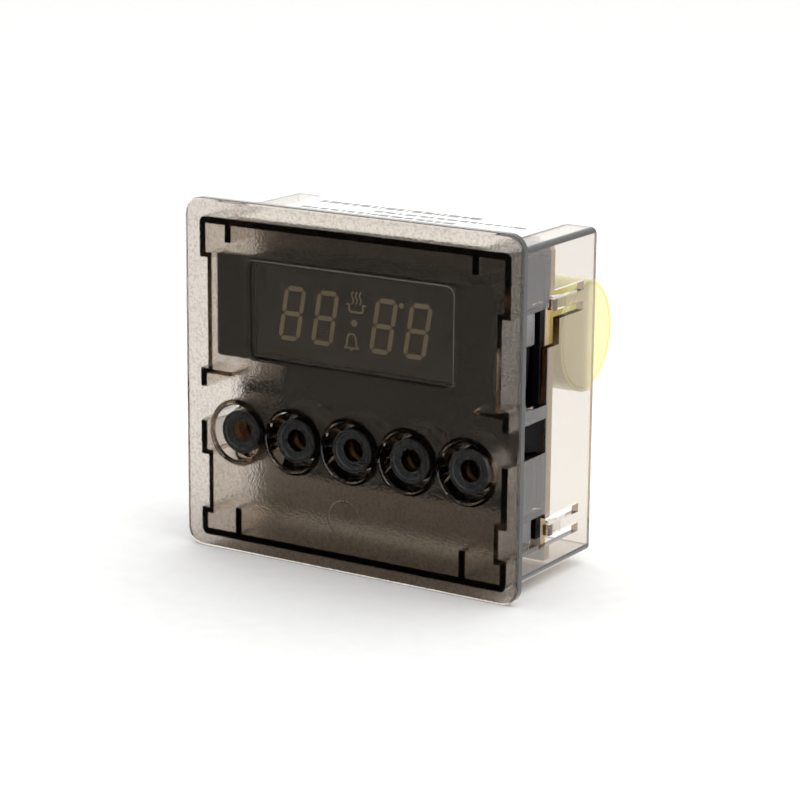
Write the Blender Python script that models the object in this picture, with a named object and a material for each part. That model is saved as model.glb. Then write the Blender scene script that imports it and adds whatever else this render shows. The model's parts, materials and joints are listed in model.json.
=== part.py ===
"""Electronic oven timer module: smoked housing, display, five push keys, circuit board and power parts.

Every piece hangs from one empty in the module's own frame: x to the right, y from the
front face into the depth, z up from the mid-height of the front plate. The empty puts the
front plate's lower edge at world z = 0 and the middle of the whole depth at world y = 0.
"""

import math

import bmesh
import bpy
from mathutils import Matrix

MM = 0.001

# Front plate
BEZEL_WIDTH = 70.0 * MM
BEZEL_HEIGHT = 64.8 * MM
BEZEL_THICKNESS = 1.6 * MM
BEZEL_CORNER = 3.2 * MM
BEZEL_EDGE = 0.45 * MM

# Case behind the plate
SIDE_RIM = 2.7 * MM
TOP_RIM = 3.4 * MM
BOTTOM_RIM = 2.0 * MM
CASE_DEPTH = 30.7 * MM
CASE_CORNER = 1.2 * MM
WALL = 1.3 * MM
THIN_WALL = 0.95 * MM
POCKET_DEPTH = 1.65 * MM
POCKET_LENGTH = 12.1 * MM

# Gaps
SEAT_GAP = 0.3 * MM
BOARD_GAP = 0.4 * MM
RUN_GAP = 0.5 * MM
JOIN = 0.2 * MM
PAST = 1.0 * MM
EDGE_STEP = 0.01 * MM

# Circuit board
BOARD_Y = 15.9 * MM
BOARD_THICKNESS = 1.6 * MM
BOARD_CORNER = 0.4 * MM

# Keys
KEY_PITCH = 12.05 * MM
KEY_Z = -10.1 * MM
KEY_COUNT = 5
KEY_RADIUS = 4.0 * MM
KEY_BORE = 2.0 * MM
KEY_LIP_WIDTH = 0.8 * MM
KEY_RECESS = 1.4 * MM
KEY_CUP = 0.5 * MM
KEY_FLANGE_STEP = 1.1 * MM
KEY_FLANGE_THICKNESS = 0.9 * MM
KEY_PIN_RADIUS = 1.3 * MM
WELL_GAP = 1.2 * MM
WELL_WALL = 1.0 * MM
WELL_DEPTH = 5.6 * MM
WELL_FLOOR = 1.1 * MM
WELL_MOUTH = 0.45 * MM
WELL_STEP = 0.2 * MM
WELL_TAPER = 0.15 * MM

# Tact switches
SWITCH_SIZE = 6.0 * MM
SWITCH_HEIGHT = 3.5 * MM
SWITCH_BORE_DEPTH = 2.5 * MM
BUTTON_RADIUS = 1.65 * MM
BUTTON_RISE = 1.2 * MM
BUTTON_FOOT = 1.5 * MM
PIP_RADIUS = 0.45 * MM
PIP_RISE = 0.25 * MM
PIP_PLACE = 2.3 * MM

# Display and its black holder
DISPLAY_WIDTH = 41.8 * MM
DISPLAY_HEIGHT = 16.6 * MM
DISPLAY_DEPTH = 8.5 * MM
DISPLAY_Z = 13.2 * MM
DISPLAY_Y = 2.9 * MM
HOLDER_WALL = 0.8 * MM
MASK_Y = 2.0 * MM
MASK_THICKNESS = 1.2 * MM
MASK_WIDTH = 57.6 * MM
MASK_CORNER = 0.5 * MM
SHIELD_BOTTOM = -17.8 * MM
SHIELD_THICKNESS = 1.2 * MM
SIDE_PLATE_TOP = 26.5 * MM
SIDE_PLATE_BOTTOM = -24.5 * MM
POST_RADIUS = 1.5 * MM
HEADER_HEIGHT = 2.5 * MM
HEADER_PINS = 14
HEADER_PITCH = 2.54 * MM
HEADER_PIN = 0.6 * MM

# Film capacitor behind the board
CAPACITOR_RADIUS = 10.2 * MM
CAPACITOR_LENGTH = 32.0 * MM
CAPACITOR_Z = 9.4 * MM
CAPACITOR_LIFT = 2.5 * MM
LEAD_RADIUS = 0.4 * MM
LEAD_PLACE = 3.0 * MM

# Relay
RELAY_LENGTH = 28.5 * MM
RELAY_WIDTH = 10.6 * MM
RELAY_HEIGHT = 12.3 * MM
RELAY_BASE = 2.0 * MM
RELAY_WALL = 0.8 * MM
RELAY_X = -14.8 * MM
RELAY_Z = -9.0 * MM
COIL_LENGTH = 15.0 * MM
COIL_PLACE = 1.2 * MM
COIL_CHEEK = 0.9 * MM
ARMATURE_GAP = 0.8 * MM
ARMATURE_THICKNESS = 0.8 * MM

# Power tabs
TAB_WIDTH = 6.3 * MM
TAB_THICKNESS = 0.8 * MM
TAB_LENGTH = 11.4 * MM
TAB_HOLE = 0.85 * MM
TAB_HOLE_BACK = 3.2 * MM
TAB_FOOT_RIM = 0.6 * MM
TAB_FOOT_HEIGHT = 0.9 * MM
TAB_FOOT_THICKNESS = 1.4 * MM
TAB_Z = -16.5 * MM
TAB_PLACES = (-21.0 * MM, -9.5 * MM, 2.0 * MM, 13.5 * MM)

# Label on the top wall
LABEL_WIDTH = 51.4 * MM
LABEL_SHIFT = 0.8 * MM
LABEL_FRONT = 3.0 * MM
LABEL_BACK = 0.8 * MM
LABEL_THICKNESS = 0.15 * MM
LABEL_GAP = 0.05 * MM

# Controller in its dual-row package, between the display and the board
CHIP_LENGTH = 28.0 * MM
CHIP_WIDTH = 8.0 * MM
CHIP_FRONT = 3.2 * MM
CHIP_BACK = 0.5 * MM
CHIP_LEGS = 10
CHIP_PITCH = 2.54 * MM

# Small parts on the back of the board: sizes and (x, z) places
LEG_WIDTH = 0.6 * MM
BUZZER_RADIUS = 6.0 * MM
BUZZER_HEIGHT = 8.0 * MM
BUZZER_PLACE = (-21.5 * MM, 5.5 * MM)
CAN_RADIUS = 5.0 * MM
CAN_HEIGHT = 11.5 * MM
CAN_PLACES = ((-24.0 * MM, 19.5 * MM), (-11.5 * MM, 19.5 * MM))
CRYSTAL_LENGTH = 10.4 * MM
CRYSTAL_WIDTH = 4.4 * MM
CRYSTAL_HEIGHT = 3.5 * MM
CRYSTAL_PLACE = (-8.5 * MM, 6.5 * MM)
DISC_RADIUS = 4.6 * MM
DISC_THICKNESS = 3.8 * MM
DISC_LIFT = 1.0 * MM
DISC_PLACE = (8.5 * MM, -8.0 * MM)
FUSE_RADIUS = 2.2 * MM
FUSE_LENGTH = 9.0 * MM
FUSE_PLACE = (6.0 * MM, 23.2 * MM)
DIODE_RADIUS = 1.3 * MM
DIODE_LENGTH = 4.6 * MM
DIODE_COUNT = 4
DIODE_PITCH = 3.3 * MM
DIODE_PLACE = (19.0 * MM, -12.2 * MM)
SOCKET_WIDTH = 10.4 * MM
SOCKET_HEIGHT = 5.8 * MM
SOCKET_LENGTH = 7.0 * MM
SOCKET_WALL = 0.8 * MM
SOCKET_FLOOR = 1.5 * MM
SOCKET_PLACE = (19.0 * MM, 23.3 * MM)

# Segments round a turned piece
ROUND = 32
SMALL_ROUND = 16
CAPACITOR_ROUND = 48

# Places that follow from the sizes above
HALF_HEIGHT = BEZEL_HEIGHT / 2
CASE_X = BEZEL_WIDTH / 2 - SIDE_RIM
CASE_TOP = HALF_HEIGHT - TOP_RIM
CASE_BOTTOM = -HALF_HEIGHT + BOTTOM_RIM
INNER_X = CASE_X - WALL
INNER_TOP = CASE_TOP - WALL
INNER_BOTTOM = CASE_BOTTOM + WALL
POCKET_X = CASE_X - POCKET_DEPTH
PAD_X = POCKET_X - THIN_WALL
POCKET_END = BEZEL_THICKNESS + POCKET_LENGTH
BOARD_BACK = BOARD_Y + BOARD_THICKNESS
PARTS_FRONT = BOARD_Y - SEAT_GAP
PARTS_BACK = BOARD_BACK + SEAT_GAP
BOARD_X = INNER_X - BOARD_GAP
BOARD_TOP = INNER_TOP - BOARD_GAP
BOARD_BOTTOM = INNER_BOTTOM + BOARD_GAP
KEY_PLACES = [(index - (KEY_COUNT - 1) / 2) * KEY_PITCH for index in range(KEY_COUNT)]
WELL_RADIUS = KEY_RADIUS + WELL_GAP
WELL_OUTER = WELL_RADIUS + WELL_WALL
WELL_BACK = WELL_DEPTH + WELL_FLOOR
KEY_LIP = KEY_RADIUS - KEY_LIP_WIDTH
FLANGE_RADIUS = KEY_RADIUS + KEY_FLANGE_STEP
FLANGE_Y = WELL_BACK + SEAT_GAP
FLANGE_BACK = FLANGE_Y + KEY_FLANGE_THICKNESS
SWITCH_TOP = PARTS_FRONT - SWITCH_HEIGHT
BUTTON_TOP = SWITCH_TOP - BUTTON_RISE
PIN_END = BUTTON_TOP - SEAT_GAP
SHIELD_Y = WELL_BACK + 0.7 * MM
KEY_HOLE = FLANGE_RADIUS + RUN_GAP
HOLE_END = FLANGE_BACK + 1.6 * MM
OPENING_X = DISPLAY_WIDTH / 2 + SEAT_GAP
OPENING_LOW = DISPLAY_Z - DISPLAY_HEIGHT / 2 - SEAT_GAP
OPENING_HIGH = DISPLAY_Z + DISPLAY_HEIGHT / 2 + SEAT_GAP
DISPLAY_BACK = DISPLAY_Y + DISPLAY_DEPTH
SIDE_PLATE_X = PAD_X - BOARD_GAP
SHIELD_LEFT = (KEY_PLACES[0] + KEY_PLACES[1]) / 2
CAPACITOR_Y = PARTS_BACK + CAPACITOR_LIFT + CAPACITOR_RADIUS
CAPACITOR_END = INNER_X - BOARD_GAP
FRONT_Y = -(CAPACITOR_Y + CAPACITOR_RADIUS) / 2

# Case walls near the plate: (lower, upper) z of each stretch that steps inward
RIGHT_STEPS = ((-25.6 * MM, -18.4 * MM), (0.7 * MM, 18.4 * MM))
LEFT_STEPS = ((-26.2 * MM, -14.2 * MM), (0.1 * MM, 22.4 * MM))
RIGHT_GAP = (-8.2 * MM, -2.0 * MM)
LEFT_GAP = (-8.8 * MM, -2.4 * MM)

# Windows through each side wall: (front, back, lower, upper) as y and z
WINDOWS = (
    (8.4 * MM, 13.7 * MM, 0.4 * MM, 11.2 * MM),
    (6.7 * MM, 8.6 * MM, 0.7 * MM, 1.9 * MM),
    (12.0 * MM, 17.8 * MM, 10.4 * MM, 15.0 * MM),
    (12.0 * MM, 14.6 * MM, 14.9 * MM, 17.6 * MM),
    (12.1 * MM, 14.2 * MM, -25.5 * MM, -19.5 * MM),
)

# Snap tongues that hold the board: z of each tongue's middle
TONGUES = (17.6 * MM, -22.9 * MM)
TONGUE_HEIGHT = 2.0 * MM
TONGUE_SLOT = 1.6 * MM
SLOT_FRONT = BOARD_Y - 1.8 * MM
TONGUE_FRONT = BOARD_Y - 0.1 * MM
TONGUE_BACK = BOARD_BACK + 8.8 * MM
HOOK_REACH = 1.2 * MM
HOOK_LENGTH = 2.8 * MM

# Ribs behind the plate
RIB_THICKNESS = 1.35 * MM
TOP_RIBS = (-26.1 * MM, 25.3 * MM)
TOP_RIB_HEIGHT = 3.1 * MM
FLOOR_RIBS = (-24.1 * MM, 23.4 * MM)
FLOOR_RIB_HEIGHT = 4.8 * MM
SIDE_RIB_LENGTH = 5.7 * MM
SIDE_RIB_LOW = 0.1 * MM
SIDE_RIB_HIGH = 0.95 * MM

# Snap hooks of the display holder
SNAP_FRONT = 9.6 * MM
SNAP_BAR = 2.0 * MM


def finish(name, colour, roughness, metallic=0.0):
    """A Principled material with one colour, given in linear red, green and blue."""
    made = bpy.data.materials.new(name)
    made.use_nodes = True
    shader = made.node_tree.nodes["Principled BSDF"]
    shader.inputs["Base Color"].default_value = (*colour, 1.0)
    shader.inputs["Roughness"].default_value = roughness
    shader.inputs["Metallic"].default_value = metallic
    made.diffuse_color = (*colour, 1.0)
    return made


def block(low, high):
    """A box between two corners."""
    shape = bmesh.new()
    bmesh.ops.create_cube(shape, size=1.0)
    size = [b - a for a, b in zip(low, high)]
    middle = [(a + b) / 2 for a, b in zip(low, high)]
    placed = Matrix.Translation(middle) @ Matrix.Diagonal((*size, 1.0))
    bmesh.ops.transform(shape, matrix=placed, verts=shape.verts)
    return shape


def rounded_block(low, high, corner, edge=0.0):
    """A box with its four edges along y rounded, and its front rim rounded too if edge is given."""
    shape = block(low, high)
    along = [e for e in shape.edges if abs(e.verts[0].co.y - e.verts[1].co.y) > JOIN]
    bmesh.ops.bevel(shape, geom=along, offset=corner, segments=5, profile=0.5, affect="EDGES")
    if edge:
        rim = [e for e in shape.edges if max(v.co.y for v in e.verts) - low[1] < JOIN]
        bmesh.ops.bevel(shape, geom=rim, offset=edge, segments=2, profile=0.5, affect="EDGES")
    return shape


def turned(profile, steps=ROUND):
    """A solid turned about y from (radius, y) points that start and end on the axis."""
    shape = bmesh.new()
    points = [shape.verts.new((radius, y, 0.0)) for radius, y in profile]
    edges = [shape.edges.new(pair) for pair in zip(points, points[1:])]
    bmesh.ops.spin(
        shape,
        geom=points + edges,
        cent=(0, 0, 0),
        axis=(0, 1, 0),
        angle=math.tau,
        steps=steps,
        use_merge=True,
    )
    bmesh.ops.remove_doubles(shape, verts=shape.verts, dist=1e-7)
    bmesh.ops.recalc_face_normals(shape, faces=shape.faces)
    return shape


def rod(radius, start, end, steps=SMALL_ROUND):
    """A plain round bar about y."""
    return turned([(0.0, start), (radius, start), (radius, end), (0.0, end)], steps)


def wedge(side, inner, outer, front, back, low, high):
    """A snap hook on one side: its face rises outward from the front to the back."""
    shape = block((inner, front, low), (outer, back, high))
    for vert in shape.verts:
        if abs(vert.co.x - outer) < JOIN and abs(vert.co.y - front) < JOIN:
            vert.co.x = inner + JOIN
    if side < 0:
        bmesh.ops.scale(shape, vec=(-1, 1, 1), verts=shape.verts)
        bmesh.ops.recalc_face_normals(shape, faces=shape.faces)
    return shape


def moved(shape, x=0.0, y=0.0, z=0.0):
    """The same shape, shifted."""
    bmesh.ops.translate(shape, vec=(x, y, z), verts=shape.verts)
    return shape


def lying(shape):
    """A shape turned about y, laid along x."""
    bmesh.ops.rotate(shape, cent=(0, 0, 0), matrix=Matrix.Rotation(-math.pi / 2, 3, "Z"), verts=shape.verts)
    return shape


def upright(shape):
    """A shape turned about y, stood along z."""
    bmesh.ops.rotate(shape, cent=(0, 0, 0), matrix=Matrix.Rotation(math.pi / 2, 3, "X"), verts=shape.verts)
    return shape


def sided(side, low, high):
    """A box given for the right side, or its mirror on the left."""
    if side > 0:
        return block(low, high)
    return block((-high[0], low[1], low[2]), (-low[0], high[1], high[2]))


def stored(name, shape):
    """An object that holds this shape."""
    mesh = bpy.data.meshes.new(name)
    shape.to_mesh(mesh)
    shape.free()
    made = bpy.data.objects.new(name, mesh)
    bpy.context.scene.collection.objects.link(made)
    return made


def combine(target, shapes, operation):
    """Unites shapes with the target, or cuts them out of it, one after the other."""
    for shape in shapes:
        tool = stored("tool", shape)
        modifier = target.modifiers.new("combine", "BOOLEAN")
        modifier.operation = operation
        modifier.solver = "EXACT"
        modifier.object = tool
        graph = bpy.context.evaluated_depsgraph_get()
        result = bpy.data.meshes.new_from_object(target.evaluated_get(graph))
        target.modifiers.clear()
        old = target.data
        target.data = result
        bpy.data.meshes.remove(old)
        bpy.data.objects.remove(tool)


def solid(name, shape, look, place=(0.0, 0.0, 0.0), add=(), cut=()):
    """A named piece: a shape, what is united with it, then what is cut from it."""
    piece = stored(name, shape)
    combine(piece, add, "UNION")
    combine(piece, cut, "DIFFERENCE")
    piece.data.name = name
    piece.data.materials.clear()
    piece.data.materials.append(look)
    piece.data.shade_smooth()
    piece.data.set_sharp_from_angle(angle=math.radians(30))
    piece.location = place
    piece.parent = root
    return piece


def side_cuts(side, steps, gap):
    """Cuts in one side wall: the outer pockets, the snap windows and the slots beside the tongues."""
    inner, outer = PAD_X - JOIN, CASE_X + PAST
    cuts = []
    for low, high in steps:
        pocket_low, pocket_high = low + THIN_WALL, high - THIN_WALL
        cuts.append(sided(side, (POCKET_X, BEZEL_THICKNESS, pocket_low), (outer, POCKET_END, pocket_high)))
    clear_of_well = max(inner, KEY_PLACES[-1] + WELL_OUTER + JOIN)
    cuts.append(sided(side, (clear_of_well, BEZEL_THICKNESS, gap[0]), (outer, POCKET_END, gap[1])))
    for near, far, low, high in WINDOWS:
        cuts.append(sided(side, (inner, near, low), (outer, far, high)))
    for middle in TONGUES:
        low, high = middle - TONGUE_HEIGHT / 2, middle + TONGUE_HEIGHT / 2
        cuts.append(sided(side, (inner, SLOT_FRONT, high), (outer, TONGUE_BACK, high + TONGUE_SLOT)))
        cuts.append(sided(side, (inner, SLOT_FRONT, low - TONGUE_SLOT), (outer, TONGUE_BACK, low)))
        end_cut = SLOT_FRONT - JOIN / 2
        cuts.append(sided(side, (inner, end_cut, low - JOIN), (outer, TONGUE_FRONT, high + JOIN)))
    return cuts


def tongue_hooks(side):
    """Hooks on the snap tongues, which reach over the back of the board."""
    hooks = []
    for middle in TONGUES:
        hook = block(
            (INNER_X - HOOK_REACH, PARTS_BACK, middle - TONGUE_HEIGHT / 2),
            (INNER_X + JOIN, PARTS_BACK + HOOK_LENGTH, middle + TONGUE_HEIGHT / 2),
        )
        for vert in hook.verts:
            if vert.co.x < INNER_X and vert.co.y > PARTS_BACK + JOIN:
                vert.co.x = INNER_X - JOIN
        if side < 0:
            bmesh.ops.scale(hook, vec=(-1, 1, 1), verts=hook.verts)
            bmesh.ops.recalc_face_normals(hook, faces=hook.faces)
        hooks.append(hook)
    return hooks


def case_ribs():
    """Ribs behind the plate: two from the top wall, two from the floor and one from each side."""
    ribs = []
    root_y, half = BEZEL_THICKNESS - JOIN, RIB_THICKNESS / 2
    for x in TOP_RIBS:
        low = INNER_TOP - TOP_RIB_HEIGHT
        ribs.append(block((x - half, root_y, low), (x + half, PARTS_FRONT, INNER_TOP + JOIN)))
    for x in FLOOR_RIBS:
        high = INNER_BOTTOM + FLOOR_RIB_HEIGHT
        ribs.append(block((x - half, root_y, INNER_BOTTOM - JOIN), (x + half, PARTS_FRONT, high)))
    for side in (-1, 1):
        near = (INNER_X - SIDE_RIB_LENGTH, root_y, SIDE_RIB_LOW)
        far = (INNER_X + JOIN, WELL_BACK + SEAT_GAP, SIDE_RIB_HIGH)
        ribs.append(sided(side, near, far))
    return ribs


def well_bore():
    """Profile of a well: a wide mouth, a small step, a slightly tapered wall and the stem's guide hole."""
    mouth, step, guide = WELL_RADIUS + WELL_MOUTH, WELL_RADIUS + WELL_STEP, KEY_RADIUS + SEAT_GAP
    return [
        (0.0, -PAST),
        (mouth, -PAST),
        (mouth, 0.15 * MM),
        (step, 0.3 * MM),
        (step, 0.6 * MM),
        (WELL_RADIUS, 0.8 * MM),
        (WELL_RADIUS - WELL_TAPER, WELL_DEPTH),
        (guide, WELL_DEPTH),
        (guide, WELL_BACK + PAST),
        (0.0, WELL_BACK + PAST),
    ]


def make_housing():
    """The smoked front plate and its open-backed case, moulded in one."""
    plate_low = (-BEZEL_WIDTH / 2, 0.0, -HALF_HEIGHT)
    plate_high = (BEZEL_WIDTH / 2, BEZEL_THICKNESS, HALF_HEIGHT)
    plate = rounded_block(plate_low, plate_high, BEZEL_CORNER, BEZEL_EDGE)
    box_low = (-CASE_X, BEZEL_THICKNESS - JOIN, CASE_BOTTOM)
    box = rounded_block(box_low, (CASE_X, CASE_DEPTH, CASE_TOP), CASE_CORNER)
    cavity_low = (-INNER_X, BEZEL_THICKNESS, INNER_BOTTOM)
    cavity = block(cavity_low, (INNER_X, CASE_DEPTH + PAST, INNER_TOP))
    housing = stored("housing", plate)
    combine(housing, [box], "UNION")
    combine(housing, [cavity], "DIFFERENCE")
    for side, steps, gap in ((1, RIGHT_STEPS, RIGHT_GAP), (-1, LEFT_STEPS, LEFT_GAP)):
        pads = []
        for low, high in steps:
            near, far = (PAD_X, BEZEL_THICKNESS - JOIN, low), (INNER_X + JOIN, POCKET_END, high)
            pads.append(sided(side, near, far))
        combine(housing, pads, "UNION")
        combine(housing, side_cuts(side, steps, gap), "DIFFERENCE")
        combine(housing, tongue_hooks(side), "UNION")
    combine(housing, case_ribs(), "UNION")
    wells = [moved(rod(WELL_OUTER, BEZEL_THICKNESS / 2, WELL_BACK, ROUND), x=x, z=KEY_Z) for x in KEY_PLACES]
    combine(housing, wells, "UNION")
    combine(housing, [moved(turned(well_bore()), x=x, z=KEY_Z) for x in KEY_PLACES], "DIFFERENCE")
    shape = bmesh.new()
    shape.from_mesh(housing.data)
    bpy.data.objects.remove(housing)
    return solid("housing", shape, smoked)


def make_keys():
    """Five hollow stems that slide in the wells and press the switches behind them."""
    front = KEY_RECESS
    cup = front + KEY_CUP
    web = FLANGE_Y + KEY_FLANGE_THICKNESS / 4
    profile = [
        (0.0, web),
        (KEY_BORE, web),
        (KEY_BORE, cup + 0.4 * MM),
        (KEY_BORE + 0.15 * MM, cup),
        (KEY_LIP - 0.35 * MM, cup),
        (KEY_LIP, front + 0.1 * MM),
        (KEY_LIP + 0.1 * MM, front),
        (KEY_RADIUS - 0.25 * MM, front),
        (KEY_RADIUS, front + 0.25 * MM),
        (KEY_RADIUS, FLANGE_Y),
        (FLANGE_RADIUS, FLANGE_Y),
        (FLANGE_RADIUS, FLANGE_BACK),
        (KEY_PIN_RADIUS, FLANGE_BACK),
        (KEY_PIN_RADIUS, PIN_END),
        (0.0, PIN_END),
    ]
    for number, x in enumerate(KEY_PLACES, 1):
        solid(f"key_{number}", turned(profile), smoked, (x, 0.0, KEY_Z))


def make_switches():
    """A tact switch behind each key: a square body with a round button in it."""
    half, rim = SWITCH_SIZE / 2, 0.2 * MM
    button_profile = [
        (0.0, BUTTON_TOP),
        (BUTTON_RADIUS - rim, BUTTON_TOP),
        (BUTTON_RADIUS, BUTTON_TOP + rim),
        (BUTTON_RADIUS, SWITCH_TOP + BUTTON_FOOT),
        (0.0, SWITCH_TOP + BUTTON_FOOT),
    ]
    for number, x in enumerate(KEY_PLACES, 1):
        place = (x, 0.0, KEY_Z)
        hole = rod(BUTTON_RADIUS + SEAT_GAP, SWITCH_TOP - PAST, SWITCH_TOP + SWITCH_BORE_DEPTH)
        pips = []
        for across in (-PIP_PLACE, PIP_PLACE):
            for up in (-PIP_PLACE, PIP_PLACE):
                pip = rod(PIP_RADIUS, SWITCH_TOP - PIP_RISE, SWITCH_TOP + JOIN, 8)
                pips.append(moved(pip, x=across, z=up))
        body = rounded_block((-half, SWITCH_TOP, -half), (half, PARTS_FRONT, half), 0.3 * MM)
        solid(f"switch_body_{number}", body, black_plastic, place, add=pips, cut=[hole])
        solid(f"switch_button_{number}", turned(button_profile, SMALL_ROUND), button_plastic, place)


def make_display_holder():
    """The black holder: mask and light box round the display, shield behind the keys, and its snaps."""
    low, high = OPENING_LOW - HOLDER_WALL, OPENING_HIGH + HOLDER_WALL
    mask_back = MASK_Y + MASK_THICKNESS
    mask = rounded_block((-MASK_WIDTH / 2, MASK_Y, low), (MASK_WIDTH / 2, mask_back, high), MASK_CORNER)
    box_x = OPENING_X + HOLDER_WALL
    side_x = SIDE_PLATE_X - HOLDER_WALL
    left = SHIELD_LEFT - HOLDER_WALL / 2
    shield_back = SHIELD_Y + SHIELD_THICKNESS
    bar_high = LEFT_GAP[1] - SEAT_GAP
    bar_low = bar_high - SNAP_BAR
    snap_back = POCKET_END - SEAT_GAP
    snap_outer = CASE_X - SEAT_GAP
    root_x = SIDE_PLATE_X - JOIN
    right_low, right_high = RIGHT_GAP[0] + SEAT_GAP, RIGHT_GAP[1] - SEAT_GAP
    left_low = LEFT_GAP[0] + SEAT_GAP
    light_box = block(
        (-box_x, MASK_Y + JOIN, low + EDGE_STEP), (box_x, DISPLAY_BACK + BOARD_GAP, high - EDGE_STEP)
    )
    shield = block((left, SHIELD_Y, SHIELD_BOTTOM), (SIDE_PLATE_X, shield_back, low + HOLDER_WALL / 2))
    shield_left = block(
        (left, SHIELD_Y + JOIN, SHIELD_BOTTOM + JOIN),
        (left + HOLDER_WALL, PARTS_FRONT, low + HOLDER_WALL / 3),
    )
    shield_floor = block(
        (left + JOIN, SHIELD_Y + 2 * JOIN, SHIELD_BOTTOM),
        (root_x, PARTS_FRONT, SHIELD_BOTTOM + HOLDER_WALL),
    )
    side_plate = block(
        (side_x, SHIELD_Y + JOIN / 2, SIDE_PLATE_BOTTOM), (SIDE_PLATE_X, PARTS_FRONT, SIDE_PLATE_TOP)
    )
    side_rim = block(
        (side_x + JOIN, POCKET_END + SEAT_GAP, SIDE_PLATE_BOTTOM + JOIN),
        (BOARD_X - EDGE_STEP, PARTS_FRONT - EDGE_STEP, SIDE_PLATE_TOP - JOIN),
    )
    left_arm = block(
        (-root_x, SNAP_FRONT + PAST, bar_low), (left + JOIN, snap_back, bar_high - JOIN)
    )
    left_plate = block((-SIDE_PLATE_X, SNAP_FRONT, left_low), (-side_x, snap_back + JOIN / 2, bar_high))
    right_snap = wedge(1, root_x, snap_outer, SNAP_FRONT, snap_back, right_low, right_high)
    left_snap = wedge(-1, root_x, snap_outer, SNAP_FRONT, snap_back, left_low, bar_high)
    add = [light_box, shield, shield_left, shield_floor, side_plate, side_rim]
    add += [right_snap, left_arm, left_plate, left_snap]
    post_x = (box_x + MASK_WIDTH / 2) / 2
    for x in (-post_x, post_x):
        for z in (low + 2 * POST_RADIUS, high - 2 * POST_RADIUS):
            post = rod(POST_RADIUS, MASK_Y + MASK_THICKNESS / 2, PARTS_FRONT)
            add.append(moved(post, x=x, z=z))
    opening = block(
        (-OPENING_X, MASK_Y - PAST, OPENING_LOW), (OPENING_X, DISPLAY_BACK + PAST, OPENING_HIGH)
    )
    key_holes = [moved(rod(KEY_HOLE, WELL_BACK - PAST, HOLE_END, ROUND), x=x, z=KEY_Z) for x in KEY_PLACES]
    solid("display_holder", mask, black_plastic, add=add, cut=[opening, *key_holes])


def make_display():
    """The four-digit display block and the two pin rows that stand it off the board."""
    x = DISPLAY_WIDTH / 2
    low, high = DISPLAY_Z - DISPLAY_HEIGHT / 2, DISPLAY_Z + DISPLAY_HEIGHT / 2
    body = rounded_block((-x, DISPLAY_Y, low), (x, DISPLAY_BACK, high), 0.3 * MM)
    solid("display_body", body, display_face)
    half, tall, pin = HEADER_PINS * HEADER_PITCH / 2, HEADER_HEIGHT / 2, HEADER_PIN / 2
    strip_front = PARTS_FRONT - HEADER_HEIGHT
    for name, z in (("display_header_upper", high - tall), ("display_header_lower", low + tall)):
        strip = block((-half, strip_front, z - tall), (half, PARTS_FRONT, z + tall))
        pins = []
        for index in range(HEADER_PINS):
            middle = (index + 0.5) * HEADER_PITCH - half
            near = (middle - pin, DISPLAY_BACK + SEAT_GAP, z - pin)
            pins.append(block(near, (middle + pin, strip_front + JOIN, z + pin)))
        solid(name, strip, black_plastic, add=pins)


def make_board():
    """The single-sided phenolic board, slid in from the back."""
    board = rounded_block((-BOARD_X, BOARD_Y, BOARD_BOTTOM), (BOARD_X, BOARD_BACK, BOARD_TOP), BOARD_CORNER)
    solid("circuit_board", board, phenolic)


def make_film_capacitor():
    """The round mains capacitor, which lies along x and stands out of the open back."""
    radius, length, rim, edge = CAPACITOR_RADIUS, CAPACITOR_LENGTH, 1.0 * MM, 0.3 * MM
    profile = [
        (0.0, 0.0),
        (radius - rim, 0.0),
        (radius - edge, edge),
        (radius, rim),
        (radius, length - rim),
        (radius - edge, length - edge),
        (radius - rim, length),
        (0.0, length),
    ]
    body = lying(turned(profile, CAPACITOR_ROUND))
    leads = []
    for x in (LEAD_PLACE, length - LEAD_PLACE):
        leads.append(moved(rod(LEAD_RADIUS, PARTS_BACK - CAPACITOR_Y, -radius / 2, 12), x=x))
    place = (CAPACITOR_END - length, CAPACITOR_Y, CAPACITOR_Z)
    solid("film_capacitor", body, yellow_tape, place, add=leads)


def make_relay():
    """The power relay: base, cover, coil and the hinged armature that its coil pulls in."""
    half_x, half_z = RELAY_LENGTH / 2, RELAY_WIDTH / 2
    base_top = PARTS_BACK + RELAY_BASE
    base = rounded_block((-half_x, PARTS_BACK, -half_z), (half_x, base_top, half_z), 0.4 * MM)
    solid("relay_base", base, black_plastic, (RELAY_X, 0.0, RELAY_Z))
    start, end = base_top + SEAT_GAP, PARTS_BACK + RELAY_HEIGHT
    cover = rounded_block((-half_x, start, -half_z), (half_x, end, half_z), 0.4 * MM)
    hollow = block((-half_x + RELAY_WALL, start - 1 * MM, -half_z + RELAY_WALL),
                   (half_x - RELAY_WALL, end - RELAY_WALL, half_z - RELAY_WALL))
    solid("relay_cover", cover, relay_plastic, (RELAY_X, 0.0, RELAY_Z), cut=[hollow])
    coil_start = -half_x + RELAY_WALL + COIL_PLACE
    coil_end = coil_start + COIL_LENGTH
    reach = half_z - RELAY_WALL - BOARD_GAP
    middle_y = start + reach
    winding = moved(lying(rod(reach - COIL_CHEEK, 0.0, COIL_LENGTH)), x=coil_start, y=middle_y)
    cheeks = []
    for x in (coil_start, coil_end - COIL_CHEEK):
        cheek_high = (x + COIL_CHEEK, middle_y + reach - RUN_GAP, reach)
        cheeks.append(block((x, middle_y - reach, -reach), cheek_high))
    solid("relay_coil", winding, copper, (RELAY_X, 0.0, RELAY_Z), add=cheeks)
    half_t, half_w = ARMATURE_THICKNESS / 2, reach - RUN_GAP
    armature = block((-half_t, -0.3 * MM, -half_w), (half_t, 2 * reach - 1.2 * MM, half_w))
    hinge = (RELAY_X + coil_end + ARMATURE_GAP + half_t, start + 0.6 * MM, RELAY_Z)
    solid("relay_armature", armature, plated_steel, hinge)


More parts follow.
